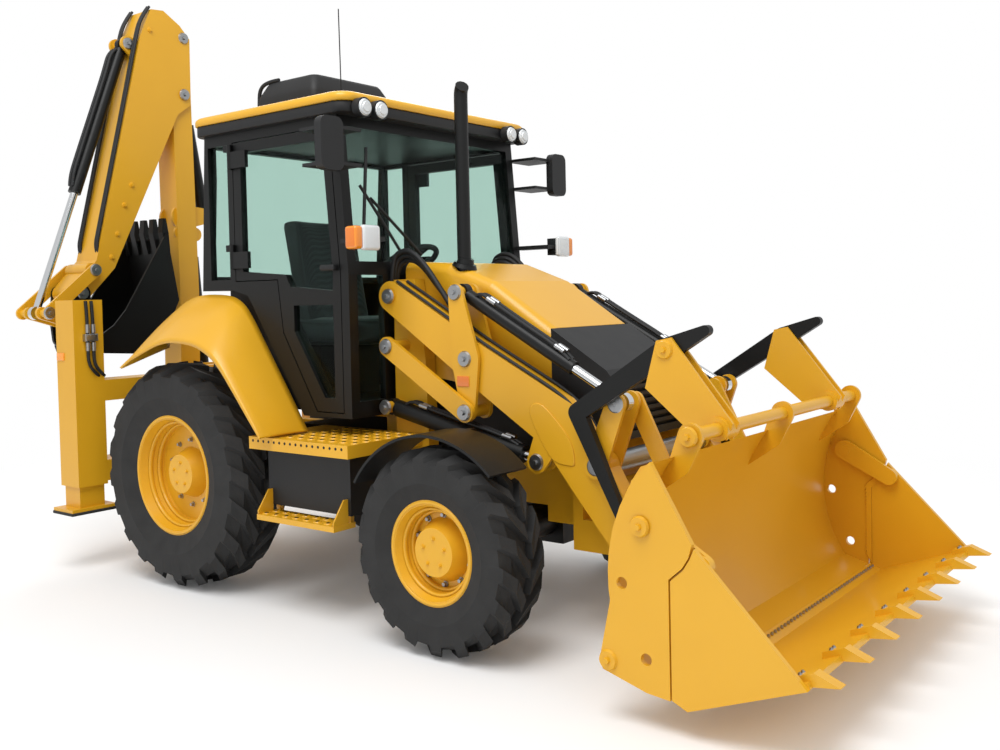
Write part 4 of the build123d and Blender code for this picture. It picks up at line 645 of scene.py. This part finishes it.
def finished(name, body, shape, finish, slot=None, flat_caps=True):
    """Turn a filled bmesh into a piece with its faces outward; caps of many sides stay flat."""
    bmesh.ops.recalc_face_normals(shape, faces=shape.faces)
    for polygon in shape.faces:
        polygon.smooth = len(polygon.verts) == 4 or not flat_caps
    mesh = bpy.data.meshes.new(name)
    shape.to_mesh(mesh)
    shape.free()
    return placed(name, body, mesh, finish, slot)


def side_blocks(table, hand, side):
    """The moulded blocks of a table, on one side of the machine."""
    for name, (body, xs, ys, zs, edge, finish) in table.items():
        inner, outer = sorted(side * y for y in ys)
        low, high = at(xs[0], inner, zs[0]), at(xs[1], outer, zs[1])
        middle, size = (low + high) / 2, high - low
        shape = bmesh.new()
        bmesh.ops.create_cube(shape, size=1.0)
        for vertex in shape.verts:
            vertex.co = Vector(middle[i] + vertex.co[i] * size[i] for i in range(3))
        rounding = {"offset": edge, "segments": BEVEL_STEPS, "profile": 0.5, "affect": "EDGES"}
        bmesh.ops.bevel(shape, geom=shape.edges[:], **rounding)
        finished(f"{name}_{hand}", body.format(hand=hand), shape, finish, flat_caps=False)


DOOR = "door_{hand}_body"
CAB_BLOCKS = {
    "head_lamp_lens": ("chassis", (1622, 1662), (832, 962), (2018, 2152), 0.018, clear_lens),
    "turn_lamp_lens": ("chassis", (1566, 1654), (954, 1012), (2024, 2146), 0.018, amber_lens),
    "mirror_face": ("chassis", (1474, 1484), (972, 1108), (2455, 2705), 0.003, mirror_silver),
    "lever_reflector": ("levers", (1985, 2065), (612, 622), (1290, 1345), 0.003, amber_lens),
    "door_handle": (DOOR, (1175, 1290), (795, 838), (1925, 1960), 0.012, black_plastic),
}
for hand, side in HANDS:
    side_blocks(CAB_BLOCKS, hand, side)
print("blocks:", len(CAB_BLOCKS), "on each side")

# %% [markdown]
# Oil reaches the cylinders through steel lines clipped along the arms and the stick, and through
# short bundles that bow over the loader's tower. Each one is a smooth NURBS path with a round
# bevel, turned into a mesh, so its bends stay as even as bent tube.

# %% Arm and tower lines
BEND_ORDER = 3


def oil_line(name, body, points, radius, finish=black_plastic):
    """A round tube along a smooth path, as a plain mesh."""
    path = bpy.data.curves.new(name, "CURVE")
    path.dimensions = "3D"
    path.bevel_depth = radius
    path.bevel_resolution = 4
    path.resolution_u = 8
    path.use_fill_caps = True
    spline = path.splines.new("NURBS")
    spline.points.add(len(points) - 1)
    for knot, point in zip(spline.points, points):
        knot.co = (*point, 1.0)
    spline.order_u = BEND_ORDER
    spline.use_endpoint_u = True
    guide = bpy.data.objects.new(name + "_path", path)
    scene.collection.objects.link(guide)
    bpy.context.view_layer.update()
    made = guide.evaluated_get(bpy.context.evaluated_depsgraph_get())
    tube = bpy.data.meshes.new_from_object(made)
    bpy.data.objects.remove(guide)
    tube.name = name
    tube.materials.clear()
    return placed(name, body, tube, finish)


ARM_TUBE = 0.0085
ARM_LANES = (499, 581)
ARM_ROUTE = (
    (1530, 1858), (1810, 1705), (2099, 1538), (2400, 1385),
    (2640, 1262), (2735, 1165), (2775, 1105),
)
TOWER_HOSE = 0.015
TOWER_LANE, LANE_STEP, BOW_STEP = 428, 18, 26
TOWER_BOW = (
    (1376, 1760, 0), (1380, 1935, 1), (1470, 1990, 1),
    (1575, 1960, 1), (1720, 1800, 1), (1860, 1660, 0),
)
for hand, side in HANDS:
    for k, lane in enumerate(ARM_LANES):
        route = [at(x, side * lane, z) for x, z in ARM_ROUTE]
        oil_line(f"arm_line_{hand}_{k}", "arms", route, ARM_TUBE)
    for k in range(3):
        lane, rise = TOWER_LANE + LANE_STEP * k, BOW_STEP * k
        route = [at(x, side * lane, z + rise * bowed) for x, z, bowed in TOWER_BOW]
        oil_line(f"tower_line_{hand}_{k}", "chassis", route, TOWER_HOSE)
print("loader lines: two on each arm, three over each tower")

# %% [markdown]
# The stick carries two lines on each side, from its head down its front edge to the digging
# bucket's guide links.

# %% Stick lines
STICK_HOSE = 0.010
STICK_LANES = (98, 122)
STICK_EDGE = (
    (400, 3975), (470, 3880), (515, 3735), (610, 3330),
    (748, 2770), (866, 2290), (893, 2175), (865, 2105),
)
STICK_SIDES = (("front", 1), ("rear", -1))
for hand, side in STICK_SIDES:
    for k, lane in enumerate(STICK_LANES):
        route = [on_hoe(reach, side * lane, z) for reach, z in STICK_EDGE]
        oil_line(f"stick_line_{k}_{hand}", "stick_body", route, STICK_HOSE)
print("stick lines: two on each side")

# %% [markdown]
# Each loader cylinder, and the long one on the stick, has a pair of lines laid along its barrel.
# A route is given from the barrel's own pins, as a run along it and a distance off its middle, so
# the lines sit right however the cylinder leans. Plated nuts join the tubes.

# %% Cylinder lines
CYLINDER_TUBE = 0.0095
CYLINDER_NUT = 0.0135
NUT_HALF = 30
CYLINDER_LANES = (523.0, 557.0)
TILT_ROUTE = ((95, 30), (120, 62), (200, 54), (450, 51), (690, 51), (765, 30))
LIFT_ROUTE = ((110, 42), (140, 74), (240, 64), (500, 62), (830, 62), (910, 40))
CYLINDERS = {
    "tilt": ("tilt_barrels", (1978, 1787), (2955, 1240), TILT_ROUTE),
    "lift": ("lift_barrels", (1440, 1150), (2471, 921), LIFT_ROUTE),
}
DIG_HOSE = 0.012
DIG_LANES = (-20, 20)
DIG_PINS = ((560, 3680), (1290, 1718))
DIG_ROUTE = ((60, 38), (95, 70), (250, 61), (500, 60), (900, 60), (1090, 58), (1150, 36))


def beside(start, end, run, off):
    """A side-view point a way along a cylinder, and a way out from its middle line."""
    line = (Vector(end) - Vector(start)).normalized()
    return Vector(start) + line * run + Vector((-line.y, line.x)) * off


def cylinder_line(kind, hand, side, k, lane):
    """One tube along a loader cylinder, with a nut near each end."""
    body, start, end, route = CYLINDERS[kind]
    points = [beside(start, end, run, off) for run, off in route]
    tube = [at(p.x, side * lane, p.y) for p in points]
    oil_line(f"{kind}_line_{hand}_{k}", body, tube, CYLINDER_TUBE)
    for m, (run, off) in enumerate((route[2], route[4])):
        points = [beside(start, end, run + step, off) for step in (-NUT_HALF, 0, NUT_HALF)]
        nut = [at(p.x, side * lane, p.y) for p in points]
        oil_line(f"{kind}_fitting_{hand}_{k}_{m}", body, nut, CYLINDER_NUT, plated_steel)


for kind in CYLINDERS:
    for hand, side in HANDS:
        for k, lane in enumerate(CYLINDER_LANES):
            cylinder_line(kind, hand, side, k, lane)
for k, lane in enumerate(DIG_LANES):
    points = [beside(*DIG_PINS, run, off) for run, off in DIG_ROUTE]
    oil_line(f"dig_line_{k}", "dig_barrel", [on_hoe(p.x, lane, p.y) for p in points], DIG_HOSE)
print("cylinder lines: a pair on each tilt, lift and digging cylinder")

# %% [markdown]
# On each stabilizer's housing two hoses come down through a small valve block and turn in behind
# it. The housing carries an amber reflector, and the foot stands on a rubber sole.

# %% Stabilizer lines
LEG_HOSE = 0.011
LEG_NUT = 0.0145
LEG_LANES = (1040, 1080)
LEG_FACE = -818
LEG_NUT_HEIGHTS = (1610, 1490)
LEG_NUT_HALF = 28
LEG_ROUTE = (
    (-830, 0, 1792), (-818, 0, 1700), (-818, 0, 1480),
    (-815, 0, 1370), (-835, 70, 1300), (-850, 90, 1290),
)
FOOT = "stabilizer_{hand}_body"
LEG_BLOCKS = {
    "leg_valve_block": ("chassis", (-840, -798), (1015, 1105), (1525, 1575), 0.005, plated_steel),
    "leg_reflector": ("chassis", (-1052, -965), (1160, 1172), (1400, 1450), 0.003, amber_lens),
    "leg_sole": (FOOT, (-1074, -826), (894, 1226), (380, 400), 0.006, tyre_rubber),
}
for hand, side in HANDS:
    for k, lane in enumerate(LEG_LANES):
        drop = [at(x, side * (lane - inward), z) for x, inward, z in LEG_ROUTE]
        oil_line(f"leg_line_{hand}_{k}", "chassis", drop, LEG_HOSE)
        for m, z in enumerate(LEG_NUT_HEIGHTS):
            steps = (-LEG_NUT_HALF, 0, LEG_NUT_HALF)
            nut = [at(LEG_FACE, side * lane, z + step) for step in steps]
            oil_line(f"leg_fitting_{hand}_{k}_{m}", "chassis", nut, LEG_NUT, plated_steel)
    side_blocks(LEG_BLOCKS, hand, side)
print("stabilizers: two lines and", len(LEG_BLOCKS), "blocks on each")

# %% [markdown]
# The exhaust stack is a slim pipe with its mouth turned a little forward, standing in a flanged
# collar on the hood. A thin aerial stands on the roof. The wiper has two parallel arms, so that
# its blade stays upright as it sweeps.

# %% Stack, aerial and wiper
STACK_PIPE = 0.039
STACK_ROUTE = (
    (1813, -330, 1860), (1813, -330, 2300), (1813, -330, 2830),
    (1813, -330, 2880), (1818, -333, 2915), (1838, -345, 2932),
)
STACK_COLLAR = (0.072, 0.022, (0.050, 0.030), 32, 32)
COLLAR_PLACE, HOOD_SLOPE = at(1813, -330, 1929), (0.3, 0, 1)
AERIAL_ROUTE = ((925, -390, 2915), (922, -390, 3220), (918, -390, 3520))
AERIAL_ROD = 0.0035
AERIAL_FOOT = (0.022, 0.020, (0.012, 0.030), 20, 20)
AERIAL_PLACE = at(925, -390, 2922)
WIPER_ARMS = (
    ((1381, -209, 2019), (1372, -400, 2176), (1356, -600, 2333)),
    ((1384, -341, 1975), (1372, -505, 2185), (1351, -676, 2400)),
)
WIPER_BLADE = ((1366, -668, 2150), (1354, -640, 2365), (1332, -600, 2620))
WIPER_ROD, BLADE_ROD = 0.009, 0.010


def places(route):
    return [at(*point) for point in route]


stack_pipe = oil_line("stack_pipe", "chassis", places(STACK_ROUTE), STACK_PIPE, black_enamel)
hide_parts("exhaust_stack")
studs("stack_collar", "chassis", [COLLAR_PLACE], [HOOD_SLOPE], black_enamel, *STACK_COLLAR)
oil_line("roof_aerial", "chassis", places(AERIAL_ROUTE), AERIAL_ROD, black_enamel)
studs("aerial_foot", "chassis", [AERIAL_PLACE], [(0, 0, 1)], black_plastic, *AERIAL_FOOT)
for k, arm in enumerate(WIPER_ARMS):
    oil_line(f"wiper_arm_{k}", "chassis", places(arm), WIPER_ROD)
oil_line("wiper_blade", "chassis", places(WIPER_BLADE), BLADE_ROD)
print("stack, aerial and wiper set")

# %% [markdown]
# The clam's two halves close on a bolted wear strip, seen as a dotted line across the bucket's
# floor. It is a row of low heads along the seam.

# %% Bucket seam
SEAM_HEADS = 60
SEAM_WIDTH = 2280
SEAM_X, SEAM_Z = 3580, 168
SEAM_HEAD = (0.009, 0.008, (0.006, 0.003), 12, 6)
lanes = [(k / (SEAM_HEADS - 1) - 0.5) * SEAM_WIDTH for k in range(SEAM_HEADS)]
seam = [at(SEAM_X, lane, SEAM_Z) for lane in lanes]
studs("bucket_seam_heads", "jaw", seam, [(0, 0, 1)] * SEAM_HEADS, plated_steel, *SEAM_HEAD)

# %% [markdown]
# The roof is a thin pressed shell over a black visor, and the unit behind the aerial is a low
# moulded housing with two bent tubes to guard it. Each is a stack of rounded rectangles, skinned
# together. A level is an inset, a corner radius and a height, so the corners stay round in plan,
# which a bevelled box would not give.

# %% Stacked skins
CORNER_STEPS = 7


def rounded_loop(low, high, corner, z):
    """Points round a rectangle with round corners, at one height."""
    loop = []
    corners = ((high[0], high[1]), (low[0], high[1]), (low[0], low[1]), (high[0], low[1]))
    for quarter, (x, y) in enumerate(corners):
        middle_x = x - corner if x == high[0] else x + corner
        middle_y = y - corner if y == high[1] else y + corner
        for k in range(CORNER_STEPS):
            angle = pi / 2 * (quarter + k / (CORNER_STEPS - 1))
            loop.append(at(middle_x + corner * cos(angle), middle_y + corner * sin(angle), z))
    return loop


def stacked_skin(name, body, loops, finish, slot=None):
    """A closed skin over matching loops, capped at both ends."""
    shape = bmesh.new()
    rows = [[shape.verts.new(point) for point in loop] for loop in loops]
    for low, high in zip(rows, rows[1:]):
        for k in range(len(low)):
            j = (k + 1) % len(low)
            shape.faces.new((low[k], low[j], high[j], high[k]))
    shape.faces.new(rows[0])
    shape.faces.new(rows[-1])
    return finished(name, body, shape, finish, slot)


def plan_stack(low, high, levels):
    """Rounded rectangles for a skin, from levels of inset, corner and height."""
    loops = []
    for inset, corner, z in levels:
        near, far = (low[0] + inset, low[1] + inset), (high[0] - inset, high[1] - inset)
        loops.append(rounded_loop(near, far, corner, z))
    return loops


print("skins: corners of", CORNER_STEPS, "points")

# %% Roof, visor and roof unit
ROOF_LOW, ROOF_HIGH = (40, -850), (1412, 850)
ROOF_LEVELS = (
    (4, 90, 2853), (0, 90, 2857), (0, 90, 2880), (4, 90, 2893),
    (14, 90, 2903), (34, 90, 2910), (90, 80, 2917), (240, 60, 2925),
)
VISOR_LEVELS = ((14, 85, 2790), (8, 88, 2796), (8, 88, 2846), (12, 86, 2853))
UNIT_LOW, UNIT_HIGH = (80, -350), (640, 350)
UNIT_LEVELS = (
    (10, 40, 2918), (0, 45, 2926), (0, 45, 3085), (6, 45, 3110),
    (40, 45, 3180), (52, 45, 3196), (80, 45, 3205),
)
GUARD_TUBE = 0.013
GUARD_ROUTE = (
    (58, 310, 2912), (58, 310, 3080), (72, 310, 3175), (150, 300, 3208), (240, 290, 3208),
)

loops = plan_stack(ROOF_LOW, ROOF_HIGH, ROOF_LEVELS)
roof_shell = stacked_skin("roof_shell", "chassis", loops, yellow_enamel, "roof_plastic")
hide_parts("cab_roof")
loops = plan_stack(ROOF_LOW, ROOF_HIGH, VISOR_LEVELS)
stacked_skin("roof_visor", "chassis", loops, black_plastic)
loops = plan_stack(UNIT_LOW, UNIT_HIGH, UNIT_LEVELS)
roof_unit = stacked_skin("roof_unit_housing", "chassis", loops, black_plastic)
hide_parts("roof_unit")
for hand, side in HANDS:
    guard = [at(x, side * y, z) for x, y, z in GUARD_ROUTE]
    oil_line(f"roof_unit_guard_{hand}", "chassis", guard, GUARD_TUBE)
print("roof: shell, visor, unit and guards")

# %% [markdown]
# The lower step hangs from the tank on two plates, one at each end, cut back at the top. A plate
# is the same skin as the roof's, with only two loops.

# %% Step brackets
STEP_BRACKET = ((949, 558), (1056, 558), (1056, 580), (978, 690), (949, 690))
BRACKET_THICK = 10
STEP_ENDS = (852, 1468)
for hand, side in HANDS:
    for k, x in enumerate(STEP_ENDS):
        faces = (x, x + BRACKET_THICK)
        loops = [[at(face, side * y, z) for y, z in STEP_BRACKET] for face in faces]
        stacked_skin(f"step_bracket_{hand}_{k}", "chassis", loops, yellow_enamel)
print("step brackets: two on each side")

# %% [markdown]
# A rear fender is one pressing that curves over the tyre and runs down to the platform, with its
# outer edge turned down. Two smooth lines, one against the cab and one at the lip, carry a grid of
# faces, and Solidify gives the sheet its thickness. The left one is a mirror image, so its faces
# are made in the other order, to point outward too.

# %% Fender lines
FENDER_ROOT = (
    (-330, 1480), (-265, 1640), (-170, 1750), (30, 1808), (300, 1806), (440, 1765),
    (540, 1672), (690, 1465), (840, 1255), (975, 1060), (1010, 1014),
)
FENDER_LIP = (
    (-330, 1370), (-250, 1418), (-150, 1465), (130, 1555), (400, 1552), (560, 1500),
    (665, 1425), (770, 1310), (880, 1180), (980, 1060), (1010, 1014),
)
FENDER_INNER, FENDER_OUTER = 800.0, 1150.0
FENDER_RUNS = 48
FENDER_ROWS = 8
FENDER_CROWN = 22.0
LIP_TURNS = ((6, 8.0, 0), (7, 36.0, 1))


def smooth_point(points, share):
    """A point on a smooth line through all the points, at a share of its run."""
    run = share * (len(points) - 1)
    k = min(int(run), len(points) - 2)
    t = run - k
    last = len(points) - 1
    a, b, c, d = (Vector(points[min(max(k + i, 0), last)]) for i in (-1, 0, 1, 2))
    return b + 0.5 * t * (c - a + t * (2 * a - 5 * b + 4 * c - d + t * (3 * (b - c) + d - a)))


def fender_row(share):
    """Points across the fender, from the cab to the turned edge, at a share of its run."""
    root, lip = smooth_point(FENDER_ROOT, share), smooth_point(FENDER_LIP, share)
    swell = max(0.0, sin(pi * share)) ** 0.5
    row = []
    for j in range(FENDER_ROWS + 1):
        t = j / FENDER_ROWS
        spot = root.lerp(lip, t)
        lane = FENDER_INNER + (FENDER_OUTER - FENDER_INNER) * t
        row.append((spot.x, lane, spot.y + FENDER_CROWN * sin(pi * t) * swell))
    for out, drop, least in LIP_TURNS:
        row.append((lip.x, FENDER_OUTER + out, lip.y - drop * swell - least))
    return row


print("fender: rows of", len(fender_row(0.5)), "points")

# %% Rear fenders
SHEET = 0.012

shape = bmesh.new()
for side in (-1, 1):
    rows = []
    for i in range(FENDER_RUNS + 1):
        row = fender_row(i / FENDER_RUNS)
        rows.append([shape.verts.new(at(x, side * y, z)) for x, y, z in row])
    for near, far in zip(rows, rows[1:]):
        for k in range(len(near) - 1):
            corners = (near[k], near[k + 1], far[k + 1], far[k])
            shape.faces.new(corners if side < 0 else corners[::-1])
fender = finished("rear_fender_pressings", "chassis", shape, yellow_enamel)
if sum(polygon.normal.z for polygon in fender.data.polygons) < 0:
    fender.data.flip_normals()
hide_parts("rear_fenders")
sheet = fender.modifiers.new("sheet", "SOLIDIFY")
sheet.thickness = SHEET
sheet.offset = -1.0
print("rear fenders:", len(fender.data.polygons), "faces")

# %% [markdown]
# Flat plates finish the loader. Each side of the bucket has a gusset behind its side plate and a
# serrated wear strip up the seam of the clam, and each arm has an oval stiffener on its outer face.
# A plate is a side-view outline, skinned through its thickness, with a small step in at its face.

# %% Plate helpers
FACE_SHRINK = 0.97


def side_plate(name, body, outline, back, front):
    """A yellow plate with a side-view outline, from its back to its slightly smaller face."""
    middle = sum((Vector(point) for point in outline), Vector((0, 0))) / len(outline)
    face = [middle + (Vector(point) - middle) * FACE_SHRINK for point in outline]
    loops = [[at(x, lane, z) for x, z in outline] for lane in (back, (back + 2 * front) / 3)]
    loops.append([at(p.x, front, p.y) for p in face])
    stacked_skin(name, body, loops, yellow_enamel)


def round_outline(points, steps):
    """A closed smooth outline through the points."""
    wrapped = points[-2:] + points + points[:2]
    count = len(points)
    shares = [(2 + count * k / steps) / (count + 3) for k in range(steps)]
    return [tuple(smooth_point(wrapped, share)) for share in shares]


print("plates: faces drawn in to", FACE_SHRINK)

# %% Bucket gussets, wear strips and arm stiffeners
GUSSET = (
    (3273, 490), (3266, 545), (3264, 620), (3270, 700), (3290, 800), (3327, 900), (3372, 985),
    (3396, 985), (3380, 900), (3358, 800), (3336, 700), (3318, 620), (3300, 545),
)
STIFFENER = (
    (2446, 1205), (2523, 1208), (2670, 1060), (2705, 940), (2667, 919), (2563, 953), (2450, 1134),
)
STIFFENER_STEPS = 48
STRIP_FRONT = (
    (3566, 176), (3566, 620), (3616, 668), (3650, 745), (3630, 752), (3598, 690), (3540, 640),
)
NOTCH = 22.0
NOTCHES = 19
NOTCH_TOP = 632
NOTCH_TIP, NOTCH_ROOT = 3530, 3540

strip = list(STRIP_FRONT)
for k in range(NOTCHES):
    high = NOTCH_TOP - k * NOTCH
    strip += [(NOTCH_TIP, high - NOTCH / 2), (NOTCH_ROOT, high - NOTCH)]
oval = round_outline(STIFFENER, STIFFENER_STEPS)
for hand, side in HANDS:
    side_plate(f"bucket_gusset_{hand}", "bucket", GUSSET, side * 1182, side * 1203)
    side_plate(f"bucket_wear_strip_{hand}", "jaw", strip, side * 1179, side * 1173)
    side_plate(f"arm_stiffener_{hand}", "arms", oval, side * 589, side * 596)
print("plates: gusset, wear strip and stiffener on each side")

# %% [markdown]
# Bolts hold the teeth to the jaw's lip and the wear plates to the stick. They are set where the
# plates lie, facing straight out of them. The lip leans back, so its bolts lean with it.

# %% Tooth and stick bolts
LIP_LEAN = radians(21)
LIP_X, LIP_Z = 4104, 359
BOLT_BACK = 55
TEETH = 8
TOOTH_REACH = 1130
BOLT_PAIR = (-14, 14)
TOOTH_BOLT = (0.010, 0.005, (0.007, 0.005))
lanes = [(k / (TEETH - 1) - 0.5) * 2 * TOOTH_REACH for k in range(TEETH)]
bolt_x, bolt_z = LIP_X - BOLT_BACK * cos(LIP_LEAN), LIP_Z - BOLT_BACK * sin(LIP_LEAN)
spots = [at(bolt_x, lane + step, bolt_z) for lane in lanes for step in BOLT_PAIR]
lip_face = [(-sin(LIP_LEAN), 0, cos(LIP_LEAN))] * len(spots)
studs("tooth_bolts", "jaw", spots, lip_face, plated_steel, *TOOTH_BOLT)

STICK_BOLTS = ((601, 2637), (664, 2488), (728, 2275), (781, 2108), (409, 3798))
STICK_BOLT = (0.021, 0.007, (0.013, 0.009))
STICK_FACE = 135
for hand, side in STICK_SIDES:
    spots = [on_hoe(reach, side * STICK_FACE, z) for reach, z in STICK_BOLTS]
    outward = [(side, 0, 0)] * len(spots)
    studs(f"stick_bolts_{hand}", "stick_body", spots, outward, yellow_enamel, *STICK_BOLT)

# %% [markdown]
# A pressed rim has two steps in its wall and a rolled bead at its edge. Both are turned shapes: a
# small closed section of (radius, distance out) points, spun round the axle.

# %% Rim steps and beads
RING_STEPS = 72
RIM_SIZES = {"rear": (372.0, 172.0), "front": (262.0, 132.0)}
WALL_INSETS = (74, 26)
STEP_SHARES = (0.30, 0.62)
STEP_SECTION = ((4, 16), (-9, 12), (-11, -8), (-7, -14), (2, -16))
BEAD_POINTS = 6
BEAD_INSET, BEAD_SINK = 12, 2
BEAD_WIDE, BEAD_HIGH = 10, 8


def turned_ring(name, body, wheel, side, section):
    """Spin a closed section round a wheel's axle, as a yellow ring."""
    x, y, z = wheel
    shape = bmesh.new()
    rows = []
    for k in range(RING_STEPS):
        turn = 2 * pi * k / RING_STEPS
        spots = [at(x + r * cos(turn), side * (y + out), z + r * sin(turn)) for r, out in section]
        rows.append([shape.verts.new(spot) for spot in spots])
    for near, far in zip(rows, rows[1:] + rows[:1]):
        for k in range(len(section)):
            j = (k + 1) % len(section)
            shape.faces.new((near[k], near[j], far[j], far[k]))
    finished(name, body, shape, yellow_enamel)


for end, (bead, half) in RIM_SIZES.items():
    wall_low, wall_high = (bead - inset for inset in WALL_INSETS)
    arc = [pi * m / (BEAD_POINTS - 1) for m in range(BEAD_POINTS)]
    edge, lip = bead - BEAD_INSET, half - BEAD_SINK
    roll = [(edge + BEAD_WIDE * cos(turn), lip + BEAD_HIGH * sin(turn)) for turn in arc]
    for hand, side in HANDS:
        body = f"wheel_{end}_{hand}"
        for k, share in enumerate(STEP_SHARES):
            out = share * half
            r = wall_low + (wall_high - wall_low) * (out - DISC_FACE) / (half - DISC_FACE)
            section = [(r + rise, out + run) for rise, run in STEP_SECTION]
            turned_ring(f"rim_step_{end}_{hand}_{k}", body, WHEELS[end], side, section)
        turned_ring(f"rim_bead_{end}_{hand}", body, WHEELS[end], side, roll)
print("rims: two steps and a bead on each")

# %% [markdown]
# The seat is two foam pads in cloth. A pad is a box of many faces whose broad side is crowned,
# whose edges are rounded by a power curve, and which has two sewn channels pressed into it.

# %% Seat pads
PAD_STEPS = 12
PAD_CROWN = 0.16
PAD_EDGE = 0.05
PAD_WAIST = 0.02
CHANNEL_DEPTH = 0.10
CHANNEL_WIDTH = 0.12
CHANNELS = (-0.42, 0.42)
BACK_LEAN = -120 / 640


def seat_pad(name, low, high, broad, lean=0.0):
    """A crowned foam pad between two corners; broad is the axis that its crown faces."""
    shape = bmesh.new()
    bmesh.ops.create_cube(shape, size=2.0)
    cuts = PAD_STEPS - 1
    bmesh.ops.subdivide_edges(shape, edges=shape.edges[:], cuts=cuts, use_grid_fill=True)
    middle, half = (low + high) / 2, (high - low) / 2
    first, second = [axis for axis in range(3) if axis != broad]
    for vertex in shape.verts:
        u = vertex.co.copy()
        crown = 1 - PAD_CROWN * max(abs(u[first]), abs(u[second])) ** 6
        for axis, other in ((first, second), (second, first)):
            u[axis] *= 1 - PAD_EDGE * abs(u[broad]) ** 4 - PAD_WAIST * (1 - u[other] ** 2)
        near = [max(0.0, 1 - abs(vertex.co.y - line) / CHANNEL_WIDTH) for line in CHANNELS]
        u[broad] *= crown * (1 - CHANNEL_DEPTH * sum(near))
        spot = Vector(middle[i] + u[i] * half[i] for i in range(3))
        spot.x += lean * (spot.z - low[2])
        vertex.co = spot
    piece = finished(name, "chassis", shape, seat_cloth, flat_caps=False)
    finer = piece.modifiers.new("finer", "SUBSURF")
    finer.levels = finer.render_levels = 1


seat_pad("seat_base_pad", at(312, -285, 1468), at(858, 285, 1655), 2)
seat_pad("seat_back_pad", at(300, -262, 1600), at(492, 262, 2290), 0, BACK_LEAN)
print("seat: two pads")
